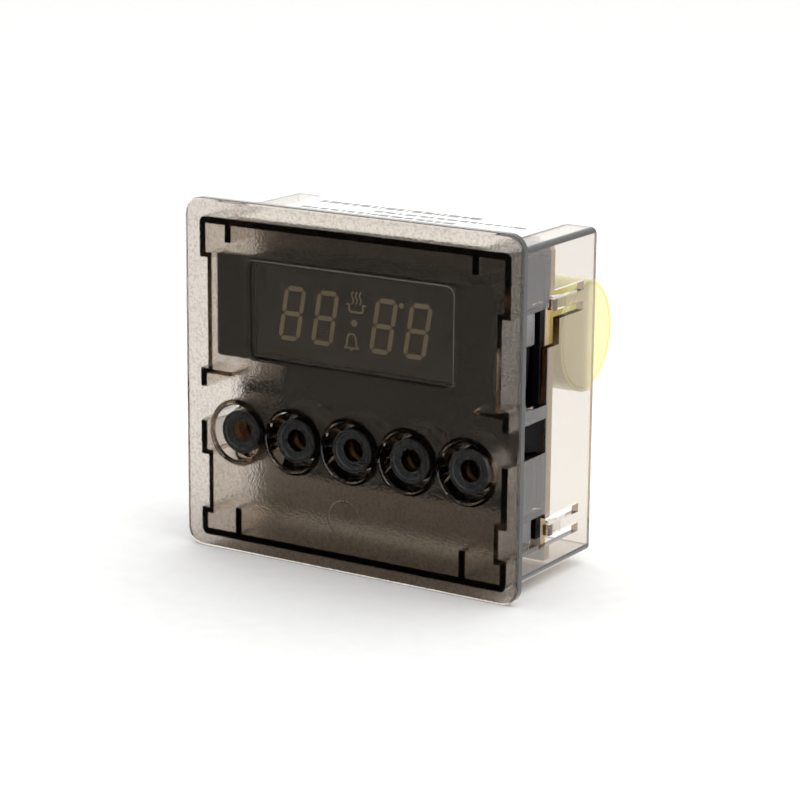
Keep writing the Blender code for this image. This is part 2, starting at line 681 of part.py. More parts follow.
def make_tabs():
    """Four flat push-on tabs, each standing on a wider foot."""
    half, end = TAB_WIDTH / 2, PARTS_BACK + TAB_LENGTH
    foot_x, foot_z = half + TAB_FOOT_RIM, TAB_FOOT_THICKNESS / 2
    for number, x in enumerate(TAB_PLACES, 1):
        blade = block((-half, PARTS_BACK + JOIN, -TAB_THICKNESS / 2), (half, end, TAB_THICKNESS / 2))
        tip = [e for e in blade.edges if min(v.co.y for v in e.verts) > end - JOIN]
        bmesh.ops.bevel(blade, geom=tip, offset=0.3 * MM, segments=1, affect="EDGES")
        foot = block((-foot_x, PARTS_BACK, -foot_z), (foot_x, PARTS_BACK + TAB_FOOT_HEIGHT, foot_z))
        hole = upright(rod(TAB_HOLE, -PAST, PAST))
        moved(hole, y=end - TAB_HOLE_BACK)
        solid(f"tab_terminal_{number}", blade, tin, (x, 0.0, TAB_Z), add=[foot], cut=[hole])


def standing_can(radius, height):
    """A round can that stands on the back of the board."""
    top, rim = PARTS_BACK + height, 0.5 * MM
    return turned(
        [(0.0, PARTS_BACK), (radius, PARTS_BACK), (radius, top - rim), (radius - rim, top), (0.0, top)], 24
    )


def lying_bead(radius, length, lift=0.6 * MM):
    """A small body laid along x on the back of the board, with both leads bent down to it."""
    centre, rim = PARTS_BACK + lift + radius, 0.3 * MM
    profile = [
        (0.0, 0.0),
        (radius - rim, 0.0),
        (radius, rim),
        (radius, length - rim),
        (radius - rim, length),
        (0.0, length),
    ]
    body = moved(lying(turned(profile, SMALL_ROUND)), x=-length / 2, y=centre)
    half, step = LEG_WIDTH / 2, EDGE_STEP
    inside, reach = length / 2 - LEG_WIDTH, length / 2 + 1.6 * MM
    leads = []
    for side in (-1, 1):
        leads.append(sided(side, (inside, centre - half, -half), (reach, centre + half, half)))
        down_low = (reach - LEG_WIDTH, PARTS_BACK, -half - step)
        leads.append(sided(side, down_low, (reach, centre + half - JOIN / 2, half - step)))
    return body, leads


def make_microcontroller():
    """The controller in its dual-row package, with ten bent legs on each side."""
    body = block(
        (-CHIP_LENGTH / 2, PARTS_FRONT - CHIP_FRONT, -CHIP_WIDTH / 2),
        (CHIP_LENGTH / 2, PARTS_FRONT - CHIP_BACK, CHIP_WIDTH / 2),
    )
    root, bend, end = CHIP_WIDTH / 2 - JOIN, CHIP_WIDTH / 2 + LEG_WIDTH / 2, CHIP_WIDTH / 2 + 1.5 * LEG_WIDTH
    high, low = PARTS_FRONT - 2.2 * MM, PARTS_FRONT - 1.5 * MM
    half = LEG_WIDTH / 2
    legs = []
    for index in range(CHIP_LEGS):
        x = (index - (CHIP_LEGS - 1) / 2) * CHIP_PITCH
        for side in (-1, 1):
            z_root, z_bend, z_end = side * root, side * bend, side * end
            shoulder = half + EDGE_STEP
            arm_low, arm_high = min(z_root, z_end), max(z_root, z_end)
            legs.append(block((x - shoulder, high, arm_low), (x + shoulder, low, arm_high)))
            foot_low, foot_high = min(z_bend, z_end), max(z_bend, z_end) - EDGE_STEP
            legs.append(block((x - half, (high + low) / 2, foot_low), (x + half, PARTS_FRONT, foot_high)))
    solid("microcontroller", body, black_plastic, (0.0, 0.0, DISPLAY_Z), add=legs)


def make_board_parts():
    """The parts on the back of the board: buzzer, cans, crystal, surge disc, fuse, diodes and socket."""
    sound_hole = rod(1.0 * MM, PARTS_BACK + BUZZER_HEIGHT - 1.5 * MM, PARTS_BACK + BUZZER_HEIGHT + PAST)
    place = (BUZZER_PLACE[0], 0.0, BUZZER_PLACE[1])
    solid("buzzer", standing_can(BUZZER_RADIUS, BUZZER_HEIGHT), black_plastic, place, cut=[sound_hole])
    for number, (x, z) in enumerate(CAN_PLACES, 1):
        can = standing_can(CAN_RADIUS, CAN_HEIGHT)
        solid(f"electrolytic_capacitor_{number}", can, sleeve, (x, 0.0, z))
    crystal = rounded_block(
        (-CRYSTAL_WIDTH / 2, PARTS_BACK, -CRYSTAL_LENGTH / 2),
        (CRYSTAL_WIDTH / 2, PARTS_BACK + CRYSTAL_HEIGHT, CRYSTAL_LENGTH / 2),
        CRYSTAL_WIDTH / 3,
    )
    solid("crystal", crystal, plated_steel, (CRYSTAL_PLACE[0], 0.0, CRYSTAL_PLACE[1]))
    disc = upright(rod(DISC_RADIUS, -DISC_THICKNESS / 2, DISC_THICKNESS / 2, ROUND))
    moved(disc, y=PARTS_BACK + DISC_LIFT + DISC_RADIUS)
    half = LEG_WIDTH / 2
    legs = []
    leg_end = PARTS_BACK + DISC_LIFT + 2 * PAST
    for x in (-DISC_RADIUS / 2, DISC_RADIUS / 2):
        legs.append(block((x - half, PARTS_BACK, -half), (x + half, leg_end, half)))
    solid("varistor", disc, blue_epoxy, (DISC_PLACE[0], 0.0, DISC_PLACE[1]), add=legs)
    body, leads = lying_bead(FUSE_RADIUS, FUSE_LENGTH)
    solid("fuse_resistor", body, grey_ceramic, (FUSE_PLACE[0], 0.0, FUSE_PLACE[1]), add=leads)
    for number in range(DIODE_COUNT):
        body, leads = lying_bead(DIODE_RADIUS, DIODE_LENGTH)
        place = (DIODE_PLACE[0], 0.0, DIODE_PLACE[1] + number * DIODE_PITCH)
        solid(f"diode_{number + 1}", body, black_plastic, place, add=leads)
    half_x, half_z = SOCKET_WIDTH / 2, SOCKET_HEIGHT / 2
    shroud = block((-half_x, PARTS_BACK, -half_z), (half_x, PARTS_BACK + SOCKET_LENGTH, half_z))
    hollow = block(
        (-half_x + SOCKET_WALL, PARTS_BACK + SOCKET_FLOOR, -half_z + SOCKET_WALL),
        (half_x - SOCKET_WALL, PARTS_BACK + SOCKET_LENGTH + PAST, half_z - SOCKET_WALL),
    )
    place = (SOCKET_PLACE[0], 0.0, SOCKET_PLACE[1])
    solid("wire_connector", shroud, white_nylon, place, cut=[hollow])


def make_label():
    """The paper label on the top wall."""
    low = CASE_TOP + LABEL_GAP
    half = LABEL_WIDTH / 2
    label = block((-half, LABEL_FRONT, low), (half, CASE_DEPTH - LABEL_BACK, low + LABEL_THICKNESS))
    solid("label", label, paper, (LABEL_SHIFT, 0.0, 0.0))


for old in list(bpy.data.objects):
    bpy.data.objects.remove(old, do_unlink=True)

smoked = finish("smoked_polycarbonate", (0.42, 0.37, 0.34), 0.25)
black_plastic = finish("black_plastic", (0.012, 0.012, 0.013), 0.45)
display_face = finish("display_face", (0.03, 0.03, 0.03), 0.2)
button_plastic = finish("button_plastic", (0.25, 0.19, 0.11), 0.4)
phenolic = finish("phenolic_board", (0.52, 0.37, 0.2), 0.5)
yellow_tape = finish("yellow_tape", (0.86, 0.82, 0.36), 0.35)
relay_plastic = finish("relay_plastic", (0.05, 0.12, 0.3), 0.4)
copper = finish("copper_winding", (0.6, 0.25, 0.12), 0.35, 1.0)
plated_steel = finish("plated_steel", (0.6, 0.6, 0.6), 0.3, 1.0)
tin = finish("tinned_brass", (0.7, 0.68, 0.6), 0.3, 1.0)
sleeve = finish("sleeve", (0.02, 0.03, 0.06), 0.35)
blue_epoxy = finish("blue_epoxy", (0.03, 0.1, 0.35), 0.35)
grey_ceramic = finish("grey_ceramic", (0.5, 0.5, 0.47), 0.6)
white_nylon = finish("white_nylon", (0.8, 0.79, 0.74), 0.4)
paper = finish("paper", (0.85, 0.85, 0.83), 0.7)

root = bpy.data.objects.new("timer", None)
bpy.context.scene.collection.objects.link(root)
root.location = (0.0, FRONT_Y, HALF_HEIGHT)

make_housing()
make_keys()
make_switches()
make_display_holder()
make_display()
make_board()
make_microcontroller()
make_film_capacitor()
make_relay()
make_tabs()
make_board_parts()
make_label()
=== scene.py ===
# %% [markdown]
# # An oven timer module in smoked polycarbonate
# This lesson dresses a finished CAD model of a small clock and timer module. The front plate and
# case are one see-through moulding, so most of what the eye reads is what stands behind it: a
# black display mask, a tan circuit board, five hollow keys and the case's own walls, which look
# black wherever they are seen end-on. The CAD gives every place and size; this file adds the
# finishes, the fine shapes, the light and the camera.

# %% Load the model and keep its box
import json
import math

import bmesh
import bpy
import numpy as np
from mathutils import Matrix, Vector


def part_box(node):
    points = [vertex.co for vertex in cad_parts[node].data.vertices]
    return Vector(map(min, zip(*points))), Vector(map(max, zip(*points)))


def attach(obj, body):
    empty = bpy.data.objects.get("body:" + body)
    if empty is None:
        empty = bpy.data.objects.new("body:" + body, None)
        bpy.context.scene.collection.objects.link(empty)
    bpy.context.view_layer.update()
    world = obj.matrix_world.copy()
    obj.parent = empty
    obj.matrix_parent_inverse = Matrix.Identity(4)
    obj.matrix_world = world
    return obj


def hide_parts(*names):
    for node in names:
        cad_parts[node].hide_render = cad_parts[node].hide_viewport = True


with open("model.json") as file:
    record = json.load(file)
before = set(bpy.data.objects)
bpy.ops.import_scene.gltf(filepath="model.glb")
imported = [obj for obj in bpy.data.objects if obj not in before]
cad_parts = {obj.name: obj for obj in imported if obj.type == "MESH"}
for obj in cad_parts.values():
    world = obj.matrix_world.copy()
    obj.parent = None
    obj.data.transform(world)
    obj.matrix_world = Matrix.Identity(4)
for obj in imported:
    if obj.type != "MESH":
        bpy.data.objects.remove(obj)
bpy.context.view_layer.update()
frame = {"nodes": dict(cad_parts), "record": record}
MM = 0.001
nodes = frame["nodes"]

# %% [markdown]
# The places that matter are read from the CAD nodes. `front` is the plane of the plate's face,
# and `middle` the height of the plate's centre. A point of the lesson is given as (x, depth
# behind the face, height above the middle) in millimetres, and `at` turns it into the scene's
# metres, so a drawing of the front can be read straight off a rule.

# %% Places read from the model
plate_low, case_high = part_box("housing")
front = plate_low.y
middle = (plate_low.z + case_high.z) / 2
board_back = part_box("circuit_board")[1].y
print(f"front {front / MM:.2f}, middle {middle / MM:.2f}, back of the board {board_back / MM:.2f} mm")


def at(x, depth, height):
    """Millimetres from the middle of the front face to a place in the scene."""
    return np.array((x * MM, front + depth * MM, middle + height * MM))


def local_box(node):
    """A node's (x, depth, height) corners in the lesson's millimetres."""
    low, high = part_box(node)
    shift = np.array((0.0, front, middle))
    return (np.array(low) - shift) / MM, (np.array(high) - shift) / MM


# %% [markdown]
# Colours are written as the sRGB hex values a painter would pick, and one function turns them
# into the linear values that shaders expect. Another small function adds any node with its
# settings and links, so a material reads as a short list of nodes.

# %% Colour and node helpers


def colour(hex_code):
    """sRGB hex to linear RGBA: the standard curve, c / 12.92 below 0.04045, else a 2.4 power."""
    srgb = [int(hex_code[i : i + 2], 16) / 255 for i in (1, 3, 5)]
    return (*[c / 12.92 if c <= 0.04045 else ((c + 0.055) / 1.055) ** 2.4 for c in srgb], 1.0)


def node(tree, kind, output=0, **settings):
    """Adds one node and returns one of its outputs. A setting is a property of the node, or an
    input given by name, or by place as in0, in1; its value is a number, a hex colour or a socket."""
    made = tree.nodes.new("ShaderNode" + kind)
    for name, value in settings.items():
        if hasattr(made, name):
            setattr(made, name, value)
            continue
        target = made.inputs[int(name[2:]) if name[:2] == "in" else name.replace("_", " ")]
        if isinstance(value, bpy.types.NodeSocket):
            tree.links.new(value, target)
        else:
            target.default_value = colour(value) if isinstance(value, str) else value
    return made.outputs[output]


def material(name, **settings):
    """A new material: (material, its tree, its Principled shader, its Object coordinates)."""
    made = bpy.data.materials.new(name)
    made.use_nodes = True
    tree = made.node_tree
    shader = tree.nodes["Principled BSDF"]
    for label, value in settings.items():
        shader.inputs[label.replace("_", " ")].default_value = value
    return made, tree, shader, node(tree, "TexCoord", "Object")


def feed(shader, **sockets):
    """Links sockets to the shader's inputs, named with _ for each space."""
    for label, socket in sockets.items():
        shader.id_data.links.new(socket, shader.inputs[label.replace("_", " ")])


# %% [markdown]
# Smoked polycarbonate is clear plastic with a little dye. A 1.3 mm wall passes about three
# quarters of the light and leans warm; the same plastic seen along 30 mm of wall passes almost
# nothing, which is why the case walls read as black lines through the plate. Only absorption
# inside the solid gives both from one material. Rays of light from a lamp can't bend on their
# way in, so for shadow rays alone the surface is plain see-through.

# %% Absorption from the colour of one wall
WALL_PASS = (0.765, 0.72, 0.67)  # red, green and blue shares that a 1.3 mm wall lets through
WALL_MM = 1.3


def dye(passes, thickness_mm):
    """Colour and density of Volume Absorption: the share lost per metre is density * (1 - colour),
    and a wall of thickness t passes exp(-loss * t)."""
    loss = [-math.log(share) / (thickness_mm * MM) for share in passes]
    density = max(loss) * 1.2
    return (*[1 - one / density for one in loss], 1.0), density


def see_through(name, passes, thickness_mm, **settings):
    """Clear dyed plastic: (material, tree, shader, place)."""
    made, tree, shader, place = material(name, Base_Color=(1, 1, 1, 1), Transmission_Weight=1.0, **settings)
    tint, density = dye(passes, thickness_mm)
    inside = node(tree, "VolumeAbsorption", Color=tint, Density=density)
    output = tree.nodes["Material Output"]
    tree.links.new(inside, output.inputs["Volume"])
    is_shadow = node(tree, "LightPath", "Is Shadow Ray")
    clear = node(tree, "BsdfTransparent", Color=(0.94, 0.94, 0.94, 1))
    both = node(tree, "MixShader", in0=is_shadow, in1=shader.outputs[0], in2=clear)
    tree.links.new(both, output.inputs["Surface"])
    return made, tree, shader, place


print("density of the smoke per metre:", round(dye(WALL_PASS, WALL_MM)[1]))

# %% [markdown]
# The mould's face is spark-eroded, so the plate's front is finely grained and blurs what stands
# far behind it. The display window is polished and stands a hair proud, and its rim draws a thin
# line of light. The window's outline is a rounded rectangle, measured by its signed distance:
# the distance to a smaller sharp rectangle, less the corner radius. Both the roughness and the
# relief come from that one distance. A faint ring below the keys is an ejector pin's mark.

# %% The grained front with its polished window
WINDOW_HALF, WINDOW_CORNER = (21.6, 8.95), 1.6
WINDOW_CENTRE = (0.0, 13.15)
GRAIN_MM, GRAIN_DEPTH_MM = 0.5, 0.1
PIT_PASS, PIT_TINT = 0.992, "#D2D2D2"  # a pit scatters a little light, and passes less
EJECTOR_PLACE, EJECTOR_RADIUS = (-0.5, -22.4), 3.3
RIM_MM, RIM_RISE = 0.22, 3.0  # the window's rim stands three grain depths high


def rounded_distance(tree, place):
    """Metres to the window's outline, negative inside it: q = |p| - half + r on each axis, then
    the length of the positive parts of q, plus the larger q where both are negative, less r."""
    middle_of_window = at(WINDOW_CENTRE[0], 0, WINDOW_CENTRE[1])
    moved = node(tree, "Mapping", Vector=place, Location=-middle_of_window)
    sides, positive = [], []
    for axis, half in zip((0, 2), WINDOW_HALF):
        along = node(tree, "SeparateXYZ", axis, in0=moved)
        reach = node(tree, "Math", operation="ABSOLUTE", in0=along)
        side = node(tree, "Math", operation="SUBTRACT", in0=reach, in1=(half - WINDOW_CORNER) * MM)
        sides.append(side)
        positive.append(node(tree, "Math", operation="MAXIMUM", in0=side, in1=0.0))
    corner = node(tree, "CombineXYZ", in0=positive[0], in1=positive[1])
    outer = node(tree, "VectorMath", "Value", operation="LENGTH", in0=corner)
    larger = node(tree, "Math", operation="MAXIMUM", in0=sides[0], in1=sides[1])
    inner = node(tree, "Math", operation="MINIMUM", in0=larger, in1=0.0)
    total = node(tree, "Math", operation="ADD", in0=outer, in1=inner)
    return node(tree, "Math", operation="SUBTRACT", in0=total, in1=WINDOW_CORNER * MM)


def ring_distance(tree, place, centre, radius_mm):
    """Metres from a circle of radius_mm round a point of the front."""
    moved = node(tree, "Mapping", Vector=place, Location=-at(centre[0], 0, centre[1]))
    flat = node(tree, "VectorMath", operation="MULTIPLY", in0=moved, in1=(1, 0, 1))
    length = node(tree, "VectorMath", "Value", operation="LENGTH", in0=flat)
    gap = node(tree, "Math", operation="SUBTRACT", in0=length, in1=radius_mm * MM)
    return node(tree, "Math", operation="ABSOLUTE", in0=gap)


def grained_polycarbonate():
    """Smoked polycarbonate, eroded on its front: speckles black things and softens deep ones."""
    made, tree, shader, place = see_through(
        "smoked_polycarbonate_grained", WALL_PASS, WALL_MM, IOR=1.58, Specular_IOR_Level=0.1
    )
    depth = node(tree, "SeparateXYZ", 1, in0=place)
    face = node(tree, "MapRange", in0=depth, in1=front + 0.02 * MM, in2=front + 0.2 * MM, in3=1.0, in4=0.0)
    distance = rounded_distance(tree, place)
    outside = node(tree, "MapRange", in0=distance, in1=-0.05 * MM, in2=0.05 * MM)
    grained = node(tree, "Math", operation="MULTIPLY", in0=face, in1=outside)
    grain = node(tree, "TexNoise", Vector=place, Scale=1 / (GRAIN_MM * MM), Detail=3.0)
    speckle = node(tree, "Math", operation="MULTIPLY", in0=grain, in1=grained)
    deep = node(tree, "MapRange", in0=grain, in1=0.45, in2=0.68)
    pits = node(tree, "Math", operation="MULTIPLY", in0=deep, in1=grained)
    near_rim = node(tree, "MapRange", in0=distance, in1=0.0, in2=RIM_MM * MM, in3=RIM_RISE, in4=0.0)
    rim = node(tree, "Math", operation="MULTIPLY", in0=near_rim, in1=face)
    ring = ring_distance(tree, place, EJECTOR_PLACE, EJECTOR_RADIUS)
    on_ring = node(tree, "MapRange", in0=ring, in1=0.0, in2=0.2 * MM, in3=1.0, in4=0.0)
    ejector = node(tree, "Math", operation="MULTIPLY", in0=on_ring, in1=grained)
    relief = node(tree, "Math", operation="ADD", in0=speckle, in1=rim)
    relief = node(tree, "Math", operation="ADD", in0=relief, in1=ejector)
    feed(
        shader,
        Transmission_Weight=node(tree, "MapRange", in0=pits, in3=1.0, in4=PIT_PASS),
        Base_Color=node(tree, "Mix", 2, data_type="RGBA", in0=pits, in6="#FFFFFF", in7=PIT_TINT),
        Roughness=node(tree, "MapRange", in0=grained, in3=0.03, in4=0.19),
        Normal=node(tree, "Bump", Height=relief, Distance=GRAIN_DEPTH_MM * MM),
    )
    return made


smoked_front = grained_polycarbonate()
print("materials:", [made.name for made in bpy.data.materials])

# %% [markdown]
# The keys are moulded from the same plastic with about four times the dye, and polished, so they
# read as black glass with bright rims. Only their mouths are hazed.

# %% The keys' polished plastic
KEY_MM = 0.3  # this much of a key passes what a whole case wall does
MOUTH_MM = local_box("key_3")[0][1] + 0.6  # how deep the haze of the mouth reaches


def polished_polycarbonate():
    """More of the same dye under a polished skin. The mouth of a key, worn by its cap, is hazed
    and scatters about a thirtieth of the light."""
    made, tree, shader, place = see_through(
        "smoked_polycarbonate_polished", WALL_PASS, KEY_MM, IOR=1.58, Specular_IOR_Level=0.35
    )
    waves = node(tree, "TexNoise", Vector=place, Scale=1 / (1.2 * MM), Detail=2.0)
    depth = node(tree, "SeparateXYZ", 1, in0=place)
    start = front + MOUTH_MM * MM
    mouth = node(tree, "MapRange", in0=depth, in1=start, in2=start + 0.15 * MM, in3=1.0, in4=0.0)
    dull = node(tree, "Math", operation="MAXIMUM", in0=mouth, in1=waves)
    feed(
        shader,
        Transmission_Weight=node(tree, "MapRange", in0=mouth, in3=1.0, in4=0.965),
        Roughness=node(tree, "MapRange", in0=dull, in1=0.3, in2=0.9, in3=0.05, in4=0.22),
        Normal=node(tree, "Bump", Height=waves, Distance=0.004 * MM),
    )
    return made


smoked_clear = polished_polycarbonate()

# %% [markdown]
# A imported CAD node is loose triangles, which would shade as facets. Where its shape is right, a
# copy is merged back into one skin and shaded smooth up to a sharp angle, and small opaque parts
# get a fine bevel, because no moulded or stamped edge is a knife edge. Weighted normals keep the
# large flats flat. The copy stands in for the node.

# %% Finished copies of CAD nodes
bodies = frame["record"]["behaviour"]["bodies"]
body_of = {member: body for body, members in bodies.items() for member in members}


def dressed(name, finish, edge_mm=0.0, angle=32):
    """A merged, smooth-shaded copy of a CAD node with its edges rounded by edge_mm."""
    shape = bmesh.new()
    shape.from_mesh(nodes[name].data)
    bmesh.ops.remove_doubles(shape, verts=shape.verts, dist=2e-6)
    flat = math.radians(0.5)
    bmesh.ops.dissolve_limit(shape, angle_limit=flat, verts=shape.verts, edges=shape.edges)
    mesh = bpy.data.meshes.new(name + "_finish")
    shape.to_mesh(mesh)
    shape.free()
    piece = placed(mesh, name + "_finish", finish, body_of[name], angle)
    if edge_mm:
        rounding = piece.modifiers.new("edge", "BEVEL")
        rounding.width = edge_mm * MM
        rounding.segments = 2
        rounding.limit_method = "ANGLE"
        rounding.angle_limit = math.radians(40)
    weights = piece.modifiers.new("flat_normals", "WEIGHTED_NORMAL")
    weights.keep_sharp = True
    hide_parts(name)
    return piece


def placed(mesh, name, finish, body="case", angle=32):
    """Puts a mesh in the scene with its finish and on its body."""
    mesh.shade_smooth()
    mesh.set_sharp_from_angle(angle=math.radians(angle))
    mesh.materials.append(finish)
    piece = bpy.data.objects.new(name, mesh)
    bpy.context.scene.collection.objects.link(piece)
    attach(piece, body)
    return piece


housing = dressed("housing", smoked_front)
print("housing faces:", len(housing.data.polygons))

# %% [markdown]
# Each key is a hollow stem turned to a stepped profile, with fine ribs inside its bore that grip
# the pin of an outer button cap. A profile carried round an axis is the natural surface: radius
# and depth come from the profile, and in the bore the radius also swells with the angle.

# %% Turned pieces


def solid_of(name, grids):
    """One mesh from (rows, columns, 3) grids. Quads join neighbours, columns wrap round, ends that
    meet in a point are closed by merging, and the normals are turned outward."""
    points, faces, start = [], [], 0
    for grid in grids:
        rows, columns = grid.shape[:2]
        index = start + np.arange(rows * columns).reshape(rows, columns)
        after = np.roll(index, -1, axis=1)
        quads = np.stack([index[:-1], after[:-1], after[1:], index[1:]], axis=-1)
        points.append(grid.reshape(-1, 3))
        faces.append(quads.reshape(-1, 4))
        start += rows * columns
    mesh = bpy.data.meshes.new(name)
    mesh.from_pydata(np.concatenate(points), [], np.concatenate(faces).tolist())
    shape = bmesh.new()
    shape.from_mesh(mesh)
    bmesh.ops.remove_doubles(shape, verts=shape.verts, dist=1e-7)
    bmesh.ops.dissolve_degenerate(shape, edges=shape.edges, dist=1e-8)
    bmesh.ops.recalc_face_normals(shape, faces=shape.faces)
    shape.to_mesh(mesh)
    shape.free()
    return mesh


AXES = {"x": (1, 2, 0), "y": (2, 0, 1), "z": (0, 1, 2)}


def turned(profile, centre, axis="y", steps=96, ripple=None):
    """Surface of revolution: for each profile point (r, d) in mm and each angle t, the place
    (r cos t, r sin t) across the axis and d along it. ripple(r, d, t) adds to r, in mm."""
    profile = np.array(profile, dtype=float)
    t = np.linspace(0, 2 * math.pi, steps, endpoint=False)[None, :]
    r, d = profile[:, :1] + 0 * t, profile[:, 1:] + 0 * t
    if ripple:
        r = r + ripple(r, d, t + 0 * r)
    grid = np.empty((*r.shape, 3))
    across, up, along = AXES[axis]
    grid[..., across], grid[..., up], grid[..., along] = r * np.cos(t), r * np.sin(t), d
    return grid * MM + np.asarray(centre)


# %% The five key stems
stem_low, stem_high = local_box("key_3")
RECESS, PIN_END = stem_low[1], stem_high[1]
STEM, BORE, LIP, FLANGE, PIN = 4.0, 2.0, 3.2, 5.1, 1.3
FLANGE_FRONT, FLANGE_BACK, WEB, CUP = 7.0, 7.9, 7.2, 0.5
RIB_COUNT, RIB_HEIGHT = 14, 0.07


def bore_ribs(radius, depth, angle):
    """Grip ribs: a rounded inward wave, only on the bore wall below its mouth."""
    wall = (np.abs(radius - BORE) < 0.02) & (depth > RECESS + CUP + 0.6)
    return -RIB_HEIGHT * np.clip(np.cos(RIB_COUNT * angle), 0, 1) ** 2 * wall


def fillet(centre, radius, start, end, steps=5):
    """Points of an arc in the (r, d) plane, from one angle in degrees to another."""
    t = np.radians(np.linspace(start, end, steps))
    return np.stack([centre[0] + radius * np.cos(t), centre[1] + radius * np.sin(t)], axis=-1).tolist()


cup_floor = RECESS + CUP
key_profile = (
    [(0.0, WEB), (BORE - 0.15, WEB), (BORE, WEB - 0.15), (BORE, cup_floor + 1.4), (BORE, cup_floor + 0.62)]
    + fillet((BORE + 0.35, cup_floor + 0.35), 0.35, 180, 270)
    + fillet((LIP - 0.25, cup_floor - 0.25), 0.25, 90, 0)
    + fillet((LIP + 0.2, RECESS + 0.2), 0.2, 180, 270)
    + fillet((STEM - 0.25, RECESS + 0.25), 0.25, -90, 0)
    + [(STEM, FLANGE_FRONT - 0.05), (STEM + 0.05, FLANGE_FRONT), (FLANGE - 0.1, FLANGE_FRONT)]
    + [(FLANGE, FLANGE_FRONT + 0.1), (FLANGE, FLANGE_BACK - 0.1), (FLANGE - 0.1, FLANGE_BACK)]
    + [(PIN, FLANGE_BACK), (PIN, PIN_END - 0.2)]
    + fillet((PIN - 0.2, PIN_END - 0.2), 0.2, 0, 90)
    + [(0.0, PIN_END)]
)
for number in range(1, 6):
    low, high = local_box(f"key_{number}")
    centre = at((low[0] + high[0]) / 2, 0, (low[2] + high[2]) / 2)
    mesh = solid_of(f"key_stem_{number}", [turned(key_profile, centre, ripple=bore_ribs, steps=112)])
    stem = placed(mesh, f"key_stem_{number}", smoked_clear, f"key_{number}_body")
    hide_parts(f"key_{number}")
print("key stems: 5 of", len(mesh.polygons), "faces, recess", round(RECESS, 2), "mm")

# %% [markdown]
# The black holder frames the display and shields the keys. It is satin black polyamide. Like all
# moulded plastic it isn't one flat tone: the skin's gloss drifts by a few percent and a fine
# texture breaks the highlights. One function makes every plain moulding from a colour, a
# roughness and the size of its texture.

# %% Moulded plastics


def moulded(name, hex_code, roughness, texture_mm=0.35, depth_mm=0.006, drift=0.12, **settings):
    """Opaque moulded plastic: a colour that drifts darker by drift, and a fine textured skin."""
    made, tree, shader, place = material(name, IOR=1.53, **settings)
    darker = "#" + "".join(f"{int(int(hex_code[i : i + 2], 16) * (1 - drift)):02X}" for i in (1, 3, 5))
    clouds = node(tree, "TexNoise", Vector=place, Scale=1 / (4.0 * MM), Detail=3.0)
    shade = node(tree, "MapRange", in0=clouds, in1=0.35, in2=0.65)
    skin = node(tree, "TexNoise", Vector=place, Scale=1 / (texture_mm * MM), Detail=3.0)
    dull, shiny = roughness + 0.06, roughness - 0.06
    feed(
        shader,
        Base_Color=node(tree, "Mix", 2, data_type="RGBA", in0=shade, in6=hex_code, in7=darker),
        Roughness=node(tree, "MapRange", in0=skin, in1=0.3, in2=0.7, in3=shiny, in4=dull),
        Normal=node(tree, "Bump", Height=skin, Distance=depth_mm * MM),
    )
    return made


black_polyamide = moulded("black_polyamide_satin", "#0B0B0B", 0.5, Specular_IOR_Level=0.08)
black_resin = moulded("moulded_epoxy_matt", "#1E1E1F", 0.55, texture_mm=0.12)
# The switch buttons are tan-brown acetal. Their colour is darkened to near black-brown to paint in the
# shade deep in the key wells, so it is partly their own colour and partly painted shade.
shaded_brown_button = moulded("brown_acetal_with_painted_shade", "#2A2014", 0.38, Specular_IOR_Level=0.3)
white_nylon = moulded(
    "natural_nylon_satin", "#EDE8D8", 0.4, Subsurface_Weight=0.15, Subsurface_Scale=0.5 * MM
)
dressed("display_holder", black_polyamide, 0.1)
for number in range(1, 6):
    dressed(f"switch_body_{number}", black_polyamide, 0.08)
    dressed(f"switch_button_{number}", shaded_brown_button, 0.05)
for name in ("display_header_upper", "display_header_lower"):
    dressed(name, black_polyamide, 0.05)

# %% [markdown]
# The display is a dark grey reflector block with four digits of seven bars, two dots, and two
# pictures: a steaming pot and a bell. Unlit bars are khaki, because the phosphor behind the grey
# filter still shows. Each bar is a slanted hexagon with mitred ends; the pictures are strokes of
# even width carried along short paths.

# %% Display finishes
DIGIT_HEIGHT, DIGIT_WIDTH, SLANT = 9.9, 4.5, 1.6
DIGIT_PITCH, PAIR_REACH, DISPLAY_MIDDLE = 7.0, 9.6, 0.07
DIGIT_LOW = 8.1
BAR, BAR_GAP = 0.84, 0.13
pair_middles = (DISPLAY_MIDDLE - PAIR_REACH, DISPLAY_MIDDLE + PAIR_REACH)
digit_places = [pair + side * DIGIT_PITCH / 2 for pair in pair_middles for side in (-1, 1)]


